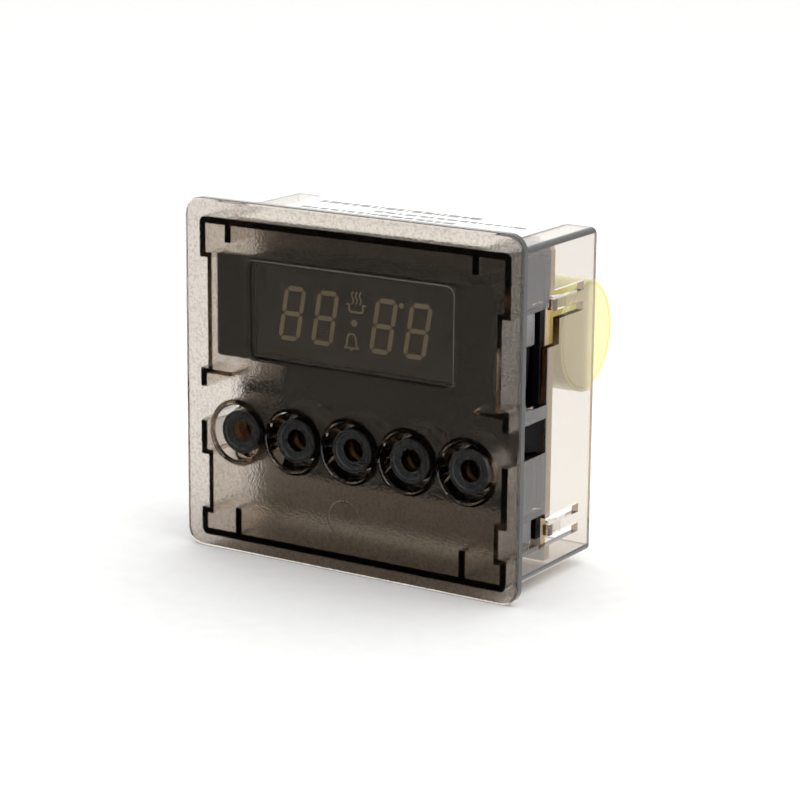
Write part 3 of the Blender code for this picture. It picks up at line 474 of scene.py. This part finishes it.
def display_glass():
    """Dark grey filter glass, warmer inside each digit, with a painted shade that makes it near black above
    and a little lighter below.
    """
    made, tree, shader, place = material(
        "display_filter_glass", IOR=1.5, Roughness=0.25, Specular_IOR_Level=0.08
    )
    height = node(tree, "SeparateXYZ", 2, in0=place)
    across = node(tree, "SeparateXYZ", 0, in0=place)
    # Painted shade: the glass goes from #3A3936 low down to near black #131414 at the top, standing for
    # shade from above, not a colour of the glass.
    painted_shade_rise = node(tree, "MapRange", in0=height, in1=middle + 4.5 * MM, in2=middle + 21.5 * MM)
    tone = node(tree, "Mix", 2, data_type="RGBA", in0=painted_shade_rise, in6="#3A3936", in7="#131414")
    near, far = (DIGIT_WIDTH / 2 + 0.2) * MM, (DIGIT_WIDTH / 2 + 0.5) * MM
    inside = 0.0
    for x in digit_places:
        reach = node(tree, "Math", operation="SUBTRACT", in0=across, in1=x * MM)
        reach = node(tree, "Math", operation="ABSOLUTE", in0=reach)
        column = node(tree, "MapRange", in0=reach, in1=near, in2=far, in3=1.0, in4=0.0)
        inside = node(tree, "Math", operation="MAXIMUM", in0=column, in1=inside)
    digit_middle = middle + (DIGIT_LOW + DIGIT_HEIGHT / 2) * MM
    level = node(tree, "Math", operation="SUBTRACT", in0=height, in1=digit_middle)
    level = node(tree, "Math", operation="ABSOLUTE", in0=level)
    row = node(tree, "MapRange", in0=level, in1=5.1 * MM, in2=5.5 * MM, in3=0.55, in4=0.0)
    inside = node(tree, "Math", operation="MULTIPLY", in0=inside, in1=row)
    ripple = node(tree, "TexNoise", Vector=place, Scale=1 / (2.5 * MM), Detail=2.0)
    feed(
        shader,
        Base_Color=node(tree, "Mix", 2, data_type="RGBA", in0=inside, in6=tone, in7="#48443A"),
        Normal=node(tree, "Bump", Height=ripple, Distance=0.003 * MM),
    )
    return made


def phosphor():
    """Unlit phosphor under grey glass: khaki, a little mottled."""
    made, tree, shader, place = material("unlit_phosphor", IOR=1.5, Roughness=0.5)
    mottle = node(tree, "TexNoise", Vector=place, Scale=1 / (0.5 * MM), Detail=3.0)
    shade = node(tree, "Mix", 2, data_type="RGBA", in0=mottle, in6="#C2BCA2", in7="#ABA58C")
    feed(shader, Base_Color=shade)
    return made


dressed("display_body", display_glass(), 0.08)
khaki = phosphor()
display_face = local_box("display_body")[0][1]

# %% Flat prints from outlines


def print_of(name, outlines, finish, depth, thickness=0.04):
    """Raised flat prints, as one piece: each outline of (x, height) points becomes a front face
    with a thin wall round it, standing proud of the surface at depth."""
    points, faces = [], []
    for outline in outlines:
        ring = np.array(outline, dtype=float)
        turn = np.roll(ring, -1, axis=0)
        area = (ring[:, 0] * turn[:, 1] - turn[:, 0] * ring[:, 1]).sum()
        ring = ring if area > 0 else ring[::-1]
        count, start = len(ring), len(points)
        for level in (depth - thickness, depth - 0.005):
            points += [tuple(at(x, level, z)) for x, z in ring]
        faces.append(tuple(range(start, start + count)))
        faces.append(tuple(range(start + 2 * count - 1, start + count - 1, -1)))
        faces += [
            (start + (i + 1) % count, start + i, start + count + i, start + count + (i + 1) % count)
            for i in range(count)
        ]
    mesh = bpy.data.meshes.new(name)
    mesh.from_pydata(points, [], faces)
    return placed(mesh, name, finish, "case")


def lean(points):
    """Slants points to the right by SLANT over a digit's height."""
    points = np.array(points, dtype=float)
    points[:, 0] += (points[:, 1] - DIGIT_LOW - DIGIT_HEIGHT / 2) * SLANT / DIGIT_HEIGHT
    return points


def bar(start, end):
    """A bar with pointed ends between two (x, height) points, shortened by the gap."""
    start, end = np.array(start, dtype=float), np.array(end, dtype=float)
    along = (end - start) / np.linalg.norm(end - start)
    side = np.array((-along[1], along[0])) * BAR / 2
    start, end = start + along * BAR_GAP, end - along * BAR_GAP
    inset = along * BAR / 2
    return [start, start + inset + side, end - inset + side, end, end - inset - side, start + inset - side]


def digit(x):
    """The seven bars of an eight: two levels of uprights and three levels of crossbars."""
    left, right = x - DIGIT_WIDTH / 2 + BAR / 2, x + DIGIT_WIDTH / 2 - BAR / 2
    levels = np.linspace(DIGIT_LOW + BAR / 2, DIGIT_LOW + DIGIT_HEIGHT - BAR / 2, 3)
    bars = [bar((left, z), (right, z)) for z in levels]
    for side in (left, right):
        bars += [bar((side, low), (side, high)) for low, high in zip(levels, levels[1:])]
    return [lean(points) for points in bars]


def disc_outline(x, z, radius, steps=28):
    """A round dot."""
    t = np.linspace(0, 2 * math.pi, steps, endpoint=False)
    return np.stack([x + radius * np.cos(t), z + radius * np.sin(t)], axis=-1)


def stroke(path, width=0.32):
    """An even stroke along a path: its points moved half the width to each side, out and back."""
    path = np.array(path, dtype=float)
    along = np.gradient(path, axis=0)
    along /= np.linalg.norm(along, axis=1, keepdims=True)
    side = np.stack([-along[:, 1], along[:, 0]], axis=-1) * width / 2
    return np.concatenate([path + side, (path - side)[::-1]])


def steam(x, low, high, swing=0.22):
    """A wavy line that rises from low to high, swinging sideways once."""
    t = np.linspace(0, 1, 18)
    sway = x + swing * np.sin(t * 2 * math.pi) + 0.25 * t
    return stroke(np.stack([sway, low + (high - low) * t], axis=-1), 0.24)


POT = (0.45, 14.9)
pot_right = np.array([(1.0, 0.0), (1.35, 0.35), (1.35, 2.0), (1.9, 2.0)])
pot_path = np.concatenate([pot_right[::-1] * (-1, 1), pot_right])
pot = stroke(pot_path * (1.05, 0.65) + POT, 0.36)
lines_of_steam = [steam(POT[0] + x, POT[1] + 1.4, POT[1] + 3.6) for x in (-0.85, -0.05, 0.75)]
BELL = (-0.45, 8.1)
bell_t = np.linspace(0, math.pi, 15)
bell_arch = np.stack([0.75 * np.cos(bell_t), 1.9 + 0.95 * np.sin(bell_t)], axis=-1)
bell_path = np.concatenate([[(1.25, 0.3), (0.85, 0.75)], bell_arch, [(-0.85, 0.75), (-1.25, 0.3)]])
bell = stroke(bell_path * (1.2, 1.0) + BELL, 0.34)
bell_rim = stroke(np.array([(-1.5, 0.3), (0.0, 0.3), (1.5, 0.3)]) + BELL, 0.34)
clapper = disc_outline(BELL[0], BELL[1] + 0.05, 0.3, 14)
dots = [disc_outline(DISPLAY_MIDDLE, 12.9, 0.62), disc_outline(9.8, 17.2, 0.5)]
segments = [points for x in digit_places for points in digit(x)]
print_of("display_digits", segments, khaki, display_face)
print_of("display_pictures", [pot, *lines_of_steam, bell, bell_rim, clapper, *dots], khaki, display_face)
print("display: 4 digits of 7 bars, 2 pictures and 2 dots")

# %% [markdown]
# The board is phenolic paper, a tan laminate pressed from paper in brown resin, and its fibres
# run one way. On the back it carries a white outline print round each part and the solder joints
# of the parts in front of it. A solder joint is a small cone with a hollow flank, so its radius
# falls with the square root of its height.

# %% The board
board_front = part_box("circuit_board")[0].y


def phenolic_paper():
    """Phenolic paper: tan with long faint fibres, under a pale grey-brown resist on
    its front, which a painted shade darkens towards the top."""
    made, tree, shader, place = material("phenolic_paper_laminate", IOR=1.6)
    drawn = node(tree, "Mapping", Vector=place, Scale=(1 / 7, 1, 1))
    fibres = node(tree, "TexNoise", Vector=drawn, Scale=1 / (0.5 * MM), Detail=4.0)
    clouds = node(tree, "TexNoise", Vector=place, Scale=1 / (6.0 * MM), Detail=2.0)
    grain = node(tree, "MapRange", in0=fibres, in1=0.35, in2=0.68)
    tan = node(tree, "Mix", 2, data_type="RGBA", in0=grain, in6="#D9BD8C", in7="#C4A26C")
    patches = node(tree, "MapRange", in0=clouds, in1=0.3, in2=0.8, in3=0.0, in4=0.5)
    bare = node(tree, "Mix", 2, data_type="RGBA", in0=patches, in6=tan, in7="#CDAE7C")
    depth = node(tree, "SeparateXYZ", 1, in0=place)
    start = board_front + 0.1 * MM
    resist = node(tree, "MapRange", in0=depth, in1=start, in2=start + 0.1 * MM, in3=1.0, in4=0.0)
    height = node(tree, "SeparateXYZ", 2, in0=place)
    # Painted shade: higher up the board the resist is mixed towards dark brown #6B5844, for the shade that
    # falls there, not for any colour of the board.
    painted_top_shade = node(tree, "MapRange", in0=height, in1=middle + 6 * MM, in2=middle + 26 * MM)
    resist_colour = node(tree, "Mix", 2, data_type="RGBA", in0=clouds, in6="#D8D0C8", in7="#C6BDB4")
    face = node(tree, "Mix", 2, data_type="RGBA", in0=painted_top_shade, in6=resist_colour, in7="#6B5844")
    feed(
        shader,
        Base_Color=node(tree, "Mix", 2, data_type="RGBA", in0=resist, in6=bare, in7=face),
        Roughness=node(tree, "MapRange", in0=fibres, in1=0.3, in2=0.7, in3=0.34, in4=0.5),
        Normal=node(tree, "Bump", Height=fibres, Distance=0.012 * MM),
    )
    return made


def solder():
    """Tin-lead solder: bright, with a frosted flank where it froze."""
    made, tree, shader, place = material("frosted_solder", Metallic=1.0)
    frost = node(tree, "TexNoise", Vector=place, Scale=1 / (0.3 * MM), Detail=3.0)
    feed(
        shader,
        Base_Color=node(tree, "Mix", 2, data_type="RGBA", in0=frost, in6="#C9CACB", in7="#A9AAAC"),
        Roughness=node(tree, "MapRange", in0=frost, in1=0.3, in2=0.7, in3=0.2, in4=0.42),
        Normal=node(tree, "Bump", Height=frost, Distance=0.02 * MM),
    )
    return made


dressed("circuit_board", phenolic_paper(), 0.08)
bright_solder = solder()
back = (board_back - front) / MM
PITCH = 2.54
ROUND_PARTS = ("buzzer", "electrolytic_capacitor_1", "electrolytic_capacitor_2")
SQUARE_PARTS = ("relay_base", "wire_connector", "crystal", "fuse_resistor", "varistor")
SQUARE_PARTS += tuple(f"diode_{number}" for number in range(1, 5))
TABS = tuple(f"tab_terminal_{number}" for number in range(1, 5))


def under_a_part(x, z, margin=0.9):
    """Whether a joint at (x, height) would sit under a part of the back, less than 3 mm off it."""
    for name in ("film_capacitor", *ROUND_PARTS, *SQUARE_PARTS, *TABS):
        low, high = local_box(name)
        beside = low[0] - margin < x < high[0] + margin
        level = low[2] - margin < z < high[2] + margin
        if low[1] - back < 3.0 and beside and level:
            return True
    return False


joints = []
for name in ("display_header_upper", "display_header_lower"):
    low, high = local_box(name)
    joints += [((index - 6.5) * PITCH, (low[2] + high[2]) / 2) for index in range(14)]
chip_low, chip_high = local_box("microcontroller")
chip_rows = (chip_low[2] + 0.3, chip_high[2] - 0.3)
joints += [((index - 4.5) * PITCH, z) for index in range(10) for z in chip_rows]
for number in range(1, 6):
    low, high = local_box(f"switch_body_{number}")
    x, z = (low[0] + high[0]) / 2, (low[2] + high[2]) / 2
    joints += [(x + a * 3.2, z + b * 2.25) for a in (-1, 1) for b in (-1, 1)]
joints = [(x, z) for x, z in joints if not under_a_part(x, z)]
t = np.linspace(0, 1, 5)
flank = [(0.85 - 0.5 * step**0.5, back + 0.02 + 0.6 * step) for step in t]
joint_profile = [(0.0, back + 0.01)] + flank + [(0.3, back + 1.2), (0.0, back + 1.25)]
grids = [turned(joint_profile, at(x, 0, z), steps=12) for x, z in joints]
joint_mesh = solid_of("solder_joints", grids)
placed(joint_mesh, "solder_joints", bright_solder, "case")
print("solder joints:", len(joints))

# %% The outline print on the board


def frame_outline(low, high, margin, width=0.18):
    """Four thin strips round a rectangle, each an outline of (x, height) points."""
    x0, z0, x1, z1 = low[0] - margin, low[2] - margin, high[0] + margin, high[2] + margin
    corners = [(x0, z0), (x1, z0), (x1, z1), (x0, z1)]
    strips = []
    for (ax, az), (bx, bz) in zip(corners, corners[1:] + corners[:1]):
        grow_x, grow_z = (width, 0) if ax == bx else (0, width)
        half = np.array((grow_x, grow_z)) / 2
        start, end = np.array((ax, az)), np.array((bx, bz))
        strips.append([start - half, end - half, end + half, start + half])
    return strips


white_ink = moulded("white_outline_ink", "#E9E6DC", 0.6, texture_mm=0.2)
outlines = []
for name in SQUARE_PARTS:
    outlines += frame_outline(*local_box(name), 0.45)
for name in ROUND_PARTS:
    low, high = local_box(name)
    x, z, radius = (low[0] + high[0]) / 2, (low[2] + high[2]) / 2, (high[0] - low[0]) / 2 + 0.5
    turn = np.linspace(0, 2 * math.pi, 49)
    ring = np.stack([x + radius * np.cos(turn), z + radius * np.sin(turn)], axis=-1)
    outlines += [stroke(ring[i : i + 13], 0.18) for i in range(0, 48, 12)]
ink = print_of("board_outline_print", outlines, white_ink, back + 0.045, 0.03)
print("outline strips:", len(outlines))

# %% [markdown]
# The film capacitor stands out of the open back. It is a wound roll under two turns of pale
# yellow polyester tape, with its ends sealed in resin a shade lighter. The tape never lies quite
# flat: it carries faint ripples along the roll and one raised edge where the winding ends. So
# the body is a turned surface whose radius has a step at one angle and small waves.

# %% The film capacitor


def polyester_tape():
    """Pale yellow film tape, slightly see-through to the roll below, with fine ripples."""
    made, tree, shader, place = material(
        "polyester_tape_yellow", IOR=1.6, Roughness=0.3, Subsurface_Weight=0.25, Subsurface_Scale=2.0 * MM
    )
    drawn = node(tree, "Mapping", Vector=place, Scale=(2.5, 0.5, 0.5))
    ripples = node(tree, "TexNoise", Vector=drawn, Scale=1 / (1.6 * MM), Detail=3.0)
    bands = node(tree, "MapRange", in0=ripples, in1=0.3, in2=0.7)
    feed(
        shader,
        Base_Color=node(tree, "Mix", 2, data_type="RGBA", in0=bands, in6="#F8F3AC", in7="#F0E896"),
        Normal=node(tree, "Bump", Height=ripples, Distance=0.02 * MM),
    )
    return made


def sealing_resin():
    """Cast resin: a paler yellow that crept up to the tape's rim and set in soft waves."""
    made, tree, shader, place = material(
        "cast_resin_pale_yellow", IOR=1.52, Roughness=0.3, Subsurface_Weight=0.2, Subsurface_Scale=1.5 * MM
    )
    clouds = node(tree, "TexNoise", Vector=place, Scale=1 / (3.0 * MM), Detail=2.0)
    waves = node(tree, "TexNoise", Vector=place, Scale=1 / (4.0 * MM), Detail=1.0)
    feed(
        shader,
        Base_Color=node(tree, "Mix", 2, data_type="RGBA", in0=clouds, in6="#F6F1BC", in7="#EDE6A2"),
        Normal=node(tree, "Bump", Height=waves, Distance=0.1 * MM),
    )
    return made


roll_low, roll_high = local_box("film_capacitor")
ROLL = (roll_high[2] - roll_low[2]) / 2
roll_centre = at(0, roll_high[1] - ROLL, (roll_high[2] + roll_low[2]) / 2)
TAPE_STEP, SEAL_DROP = 0.12, 0.35


def tape_lap(radius, along, angle):
    """The tape's end: the radius falls by TAPE_STEP over one short angle and climbs back slowly
    round the rest of the turn, and three long waves of 0.03 mm lie on it."""
    lap = TAPE_STEP * (((angle - 0.6) % (2 * math.pi)) / (2 * math.pi) - 1)
    waves = 0.03 * (np.cos(3 * angle + along * 0.9) - 1)
    return (lap + waves) * (radius > ROLL - 0.6)


left, right = roll_low[0], roll_high[0]
tape_lengths = np.linspace(left + 0.5, right - 0.5, 9)
tape_profile = (
    [(ROLL - 1.0, left + 0.55), (ROLL - 0.35, left + 0.12)]
    + [(ROLL - 0.06, left + 0.2)]
    + [(ROLL - 0.02, along) for along in tape_lengths]
    + [(ROLL - 0.06, right - 0.2), (ROLL - 0.35, right - 0.12), (ROLL - 1.0, right - 0.55)]
)
inner_wall = [(ROLL - 1.0, right - 0.55), (ROLL - 1.0, left + 0.55)]
outside = turned(tape_profile, roll_centre, "x", 128, tape_lap)
tape = solid_of("capacitor_tape", [outside, turned(inner_wall, roll_centre, "x", 128)])
tape_piece = placed(tape, "capacitor_tape", polyester_tape(), "case")
seal_half = [(0.0, SEAL_DROP), (4.0, SEAL_DROP - 0.05), (8.0, SEAL_DROP - 0.12), (ROLL - 1.3, 0.1)]
seal_half.append((ROLL - 0.95, 0.2))
seal_profile = [(radius, left + inset) for radius, inset in seal_half]
seal_profile += [(radius, right - inset) for radius, inset in reversed(seal_half)]
seal = solid_of("capacitor_resin", [turned(seal_profile, roll_centre, "x", 96)])
placed(seal, "capacitor_resin", sealing_resin(), "case", 50)
lead_profile = [(0.0, back + 0.25), (0.4, back + 0.25), (0.4, back + 9.0), (0.0, back + 9.0)]
lead_places = [at(x, 0, (roll_high[2] + roll_low[2]) / 2) for x in (left + 3.0, right - 3.0)]
lead_ends = [turned(lead_profile, place, steps=20) for place in lead_places]
leads = solid_of("capacitor_leads", lead_ends)
placed(leads, "capacitor_leads", bright_solder, "case")
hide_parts("film_capacitor")
print("capacitor roll radius", round(ROLL, 2), "length", round(right - left, 1), "mm")

# %% [markdown]
# The relay has a black base, a blue polybutylene cover, and inside it a coil of enamelled copper
# wire that pulls a hinged steel armature. The coil's wire is 0.1 mm, too fine to draw, so its
# turns are a coarser wave bump along the coil, with a painted highlight and shade on each turn.

# %% Relay finishes


def enamelled_copper():
    """Enamelled copper wire: warm, glossy and ridged across the coil, with a painted highlight and shade on
    each turn.
    """
    made, tree, shader, place = material(
        "enamelled_copper_wire", Metallic=1.0, Roughness=0.28, Coat_Weight=0.6
    )
    bands = node(tree, "TexWave", "Fac", Vector=place, Scale=1 / (3.2 * 0.35 * MM), bands_direction="X")
    feed(
        shader,
        # Painted highlight and shade: the colour swings from dark #8A3F1C to light #D98A52 with each ridge
        # of the bump.
        Base_Color=node(tree, "Mix", 2, data_type="RGBA", in0=bands, in6="#8A3F1C", in7="#D98A52"),
        Normal=node(tree, "Bump", Height=bands, Distance=0.06 * MM),
    )
    return made


def drawn_metal(name, light, dark, roughness, direction=(6, 1, 1)):
    """Rolled or drawn metal: fine lines along one way that spread the highlight."""
    made, tree, shader, place = material(name, Metallic=1.0)
    drawn = node(tree, "Mapping", Vector=place, Scale=[1 / way for way in direction])
    lines = node(tree, "TexNoise", Vector=drawn, Scale=1 / (0.12 * MM), Detail=3.0)
    dull, shiny = roughness + 0.08, roughness - 0.08
    feed(
        shader,
        Base_Color=node(tree, "Mix", 2, data_type="RGBA", in0=lines, in6=light, in7=dark),
        Roughness=node(tree, "MapRange", in0=lines, in1=0.3, in2=0.7, in3=shiny, in4=dull),
        Normal=node(tree, "Bump", Height=lines, Distance=0.004 * MM),
    )
    return made


nickel = drawn_metal("nickel_plated_steel", "#CFCDC6", "#A9A7A1", 0.28)
tinned = drawn_metal("tinned_brass_stamped", "#D8D5CB", "#B9B5A6", 0.3, (1, 6, 1))
blue_cover = moulded("polybutylene_blue", "#2E5FA8", 0.3, texture_mm=0.25, Coat_Weight=0.2)
dressed("relay_base", black_polyamide, 0.12)
dressed("relay_cover", blue_cover, 0.25)
dressed("relay_coil", enamelled_copper())
dressed("relay_armature", nickel, 0.06)
for number in range(1, 5):
    dressed(f"tab_terminal_{number}", tinned, 0.06)
dressed("crystal", nickel, 0.2)

# %% [markdown]
# The round cans wear a shrink sleeve with a pale stripe on the minus side, and show bare
# aluminium on top, with a cross pressed in so that they vent safely. The buzzer is a black cup
# with a sound hole. The surge disc is dipped in blue epoxy, the fuse resistor is grey cement
# and the diodes are black with a silver band at one end. Stripes and bands are places on the
# part, so each is a ramp on one coordinate.

# %% Small parts


def sleeve_and_can(name, low, high):
    """Shrink sleeve with a stripe at the lowest x, and bare aluminium on the crown."""
    made, tree, shader, place = material(name, IOR=1.5)
    x, z = (low[0] + high[0]) / 2, (low[2] + high[2]) / 2
    radius = (high[0] - low[0]) / 2
    depth = node(tree, "SeparateXYZ", 1, in0=place)
    moved = node(tree, "Mapping", Vector=place, Location=-at(x, 0, z))
    flat = node(tree, "VectorMath", operation="MULTIPLY", in0=moved, in1=(1, 0, 1))
    reach = node(tree, "VectorMath", "Value", operation="LENGTH", in0=flat)
    crown = front + (high[1] - 0.3) * MM
    top = node(tree, "MapRange", in0=depth, in1=crown, in2=crown + 0.1 * MM)
    opening = (radius - 0.9) * MM
    middle_of_top = node(tree, "MapRange", in0=reach, in1=opening, in2=opening + 0.1 * MM, in3=1.0, in4=0.0)
    bare = node(tree, "Math", operation="MULTIPLY", in0=top, in1=middle_of_top)
    sideways = node(tree, "SeparateXYZ", 0, in0=moved)
    outer, inner = -0.86 * radius * MM, -0.84 * radius * MM
    stripe = node(tree, "MapRange", in0=sideways, in1=outer, in2=inner, in3=1.0, in4=0.0)
    sleeve = node(tree, "Mix", 2, data_type="RGBA", in0=stripe, in6="#15213F", in7="#C9CDD6")
    upward = node(tree, "SeparateXYZ", 2, in0=moved)
    arms = [node(tree, "Math", operation="ABSOLUTE", in0=arm) for arm in (sideways, upward)]
    nearer = node(tree, "Math", operation="MINIMUM", in0=arms[0], in1=arms[1])
    cross = node(tree, "MapRange", in0=nearer, in1=0.15 * MM, in2=0.3 * MM)
    relief = node(tree, "Math", operation="MULTIPLY", in0=cross, in1=bare)
    feed(
        shader,
        Base_Color=node(tree, "Mix", 2, data_type="RGBA", in0=bare, in6=sleeve, in7="#D4D4D2"),
        Metallic=bare,
        Roughness=node(tree, "MapRange", in0=bare, in3=0.22, in4=0.34),
        Normal=node(tree, "Bump", Height=relief, Distance=0.15 * MM),
    )
    return made


def banded(name, body, band, axis, start, end, roughness=0.4):
    """A dipped or moulded body with one band, between two places in mm along an axis."""
    made, tree, shader, place = material(name, IOR=1.53)
    along = node(tree, "SeparateXYZ", axis, in0=place)
    soft = 0.03
    after = node(tree, "MapRange", in0=along, in1=(start - soft) * MM, in2=(start + soft) * MM)
    low, high = (end - soft) * MM, (end + soft) * MM
    before = node(tree, "MapRange", in0=along, in1=low, in2=high, in3=1.0, in4=0.0)
    between = node(tree, "Math", operation="MULTIPLY", in0=after, in1=before)
    skin = node(tree, "TexNoise", Vector=place, Scale=1 / (0.3 * MM), Detail=3.0)
    dull, shiny = roughness + 0.07, roughness - 0.07
    feed(
        shader,
        Base_Color=node(tree, "Mix", 2, data_type="RGBA", in0=between, in6=body, in7=band),
        Roughness=node(tree, "MapRange", in0=skin, in1=0.3, in2=0.7, in3=shiny, in4=dull),
        Normal=node(tree, "Bump", Height=skin, Distance=0.01 * MM),
    )
    return made


for number in (1, 2):
    can = f"electrolytic_capacitor_{number}"
    dressed(can, sleeve_and_can(f"shrink_sleeve_{number}", *local_box(can)), 0.15)
diode_low, diode_high = local_box("diode_1")
diode_middle = (diode_low[0] + diode_high[0]) / 2
band_start = diode_middle + 1.2
diode_finish = banded("moulded_diode_silver_band", "#161616", "#C8C8C6", 0, band_start, band_start + 0.6)
for number in range(1, 5):
    dressed(f"diode_{number}", diode_finish)
RESISTOR_BAND = 3.4
cement = banded("cement_coated_resistor", "#8E9187", "#3C3B38", 0, RESISTOR_BAND, RESISTOR_BAND + 0.6, 0.62)
dressed("fuse_resistor", cement)
dipped_blue = moulded("dipped_epoxy_blue", "#2456A6", 0.28, texture_mm=1.2, depth_mm=0.03)
dressed("varistor", dipped_blue, 0.5)
dressed("buzzer", black_polyamide, 0.3)
dressed("microcontroller", black_resin, 0.08)
dressed("wire_connector", white_nylon, 0.12)
socket_low, socket_high = local_box("wire_connector")
socket_x, socket_z = (socket_low[0] + socket_high[0]) / 2, (socket_low[2] + socket_high[2]) / 2
pin_profile = [(0.0, 1.7), (0.42, 1.7), (0.42, 6.0), (0.2, 6.4), (0.0, 6.4)]
pin_profile = [(radius, back + reach) for radius, reach in pin_profile]
pins = [turned(pin_profile, at(socket_x + step * PITCH, 0, socket_z), steps=4) for step in (-1, 0, 1)]
placed(solid_of("connector_pins", pins), "connector_pins", tinned, "case")

# %% [markdown]
# The label on the top wall is white paper. What it says is left out: short grey bars of the
# right height and spacing stand for its lines of print, so the eye still sees a printed label.
# The lengths of the bars come from a seeded draw and are the same each run.

# %% The label


def paper():
    """Coated paper: white with a soft fibre cloud."""
    made, tree, shader, place = material("coated_paper_white", IOR=1.5, Roughness=0.5)
    clouds = node(tree, "TexNoise", Vector=place, Scale=1 / (0.6 * MM), Detail=4.0)
    skin = node(tree, "TexNoise", Vector=place, Scale=1 / (0.25 * MM), Detail=3.0)
    feed(
        shader,
        Base_Color=node(tree, "Mix", 2, data_type="RGBA", in0=clouds, in6="#FBFAF7", in7="#F1F0EC"),
        Normal=node(tree, "Bump", Height=skin, Distance=0.006 * MM),
    )
    return made


dressed("label", paper())
label_low, label_high = local_box("label")
draw = np.random.default_rng(7)
# Each row of bars: how deep it starts, how tall it is, and where it starts and ends across.
PRINT_ROWS = ((13.4, 1.7, -22, 14), (17.6, 1.2, -22, 10), (20.6, 1.2, -8, 22), (24.0, 1.7, -22, 12))
ink_points, ink_faces = [], []
for depth, tall, start, end in PRINT_ROWS:
    x = float(start)
    while x < end:
        wide = float(draw.uniform(0.5, 2.4))
        first = len(ink_points)
        corners = [(x, depth), (x + wide, depth), (x + wide, depth + tall), (x, depth + tall)]
        for level in (label_high[2] + 0.01, label_high[2] + 0.03):
            ink_points += [tuple(at(across, deep, level)) for across, deep in corners]
        walls = [(i, (i + 1) % 4, 4 + (i + 1) % 4, 4 + i) for i in range(4)]
        ink_faces += [tuple(first + i for i in face) for face in [(3, 2, 1, 0), (4, 5, 6, 7), *walls]]
        x += wide + float(draw.uniform(0.35, 0.8))
print_mesh = bpy.data.meshes.new("label_print")
print_mesh.from_pydata(ink_points, [], ink_faces)
grey_ink = moulded("grey_label_ink", "#98989A", 0.55, texture_mm=0.2, depth_mm=0.002)
placed(print_mesh, "label_print", grey_ink, "case")
print("label bars:", len(ink_faces) // 6)

# %% [markdown]
# The studio: a pale floor, a bright surround that the smoked plastic is seen against, a large
# soft lamp above and one on the left. The front of the surround is dark, most of all low at the
# left: it stands for the black card that keeps a glare off the polished window, and the floor is
# kept out of mirror reflections for the same reason. Where the surround is seen directly it is
# white.

# %% Surround and floor
scene = bpy.context.scene
scene.view_settings.view_transform = "Standard"
SURROUND, CARD = 1.42, 0.0
card_direction = Vector((-0.42, -0.88, -0.18)).normalized()
world = bpy.data.worlds.new("studio")
world.use_nodes = True
sky = world.node_tree
direction = node(sky, "TexCoord", "Generated")
facing = node(sky, "VectorMath", "Value", operation="DOT_PRODUCT", in0=direction, in1=card_direction)
strength = node(sky, "MapRange", in0=facing, in1=-0.1, in2=0.5, in3=SURROUND, in4=CARD)
seen = node(sky, "LightPath", "Is Camera Ray")
backdrop = node(sky, "Math", operation="MAXIMUM", in0=strength, in1=seen)
sky.links.new(backdrop, sky.nodes["Background"].inputs["Strength"])
sky.nodes["Background"].inputs["Color"].default_value = (1, 1, 1, 1)
scene.world = world

REACH = 20.0
floor_mesh = bpy.data.meshes.new("floor")
corners = [(-REACH, -REACH, 0), (REACH, -REACH, 0), (REACH, REACH, 0), (-REACH, REACH, 0)]
floor_mesh.from_pydata(corners, [], [(0, 1, 2, 3)])
floor = bpy.data.objects.new("floor", floor_mesh)
scene.collection.objects.link(floor)
pale_sweep = moulded("pale_paper_sweep", "#FAFAF9", 0.9, texture_mm=2.0, depth_mm=0.0, drift=0.01)
floor_mesh.materials.append(pale_sweep)
floor.visible_glossy = False

# %% Lamps


def lamp(name, place, size, watts):
    """A square soft lamp that faces the middle of the module."""
    data = bpy.data.lights.new(name, "AREA")
    data.size = size
    data.energy = watts
    made = bpy.data.objects.new(name, data)
    made.location = place
    made.rotation_euler = (Vector((0, 0, middle)) - Vector(place)).to_track_quat("-Z", "Y").to_euler()
    scene.collection.objects.link(made)


lamp("top_softbox", (0.05, -0.05, 0.75), 0.7, 1.5)
lamp("left_softbox", (-0.6, -0.3, 0.35), 0.5, 0.6)

# %% [markdown]
# The camera is a long lens, a little above the module and to its right, so three faces show and
# the far edges hardly converge.

# %% Camera
AZIMUTH, ELEVATION, TILT = math.radians(32.26), math.radians(13.98), math.radians(0.47)
DISTANCE, TARGET = 0.4812, Vector((-0.0018, 0.0, 0.0275))
back_axis = Vector(
    (math.sin(AZIMUTH) * math.cos(ELEVATION), -math.cos(AZIMUTH) * math.cos(ELEVATION), math.sin(ELEVATION))
)
lens = bpy.data.cameras.new("camera")
lens.lens = 118.8
lens.sensor_width = 36
lens.clip_start = 0.01
camera = bpy.data.objects.new("camera", lens)
camera.location = TARGET + back_axis * DISTANCE
look = (-back_axis).to_track_quat("-Z", "Y")
camera.rotation_euler = (look @ Matrix.Rotation(TILT, 4, "Z").to_quaternion()).to_euler()
scene.collection.objects.link(camera)
scene.camera = camera
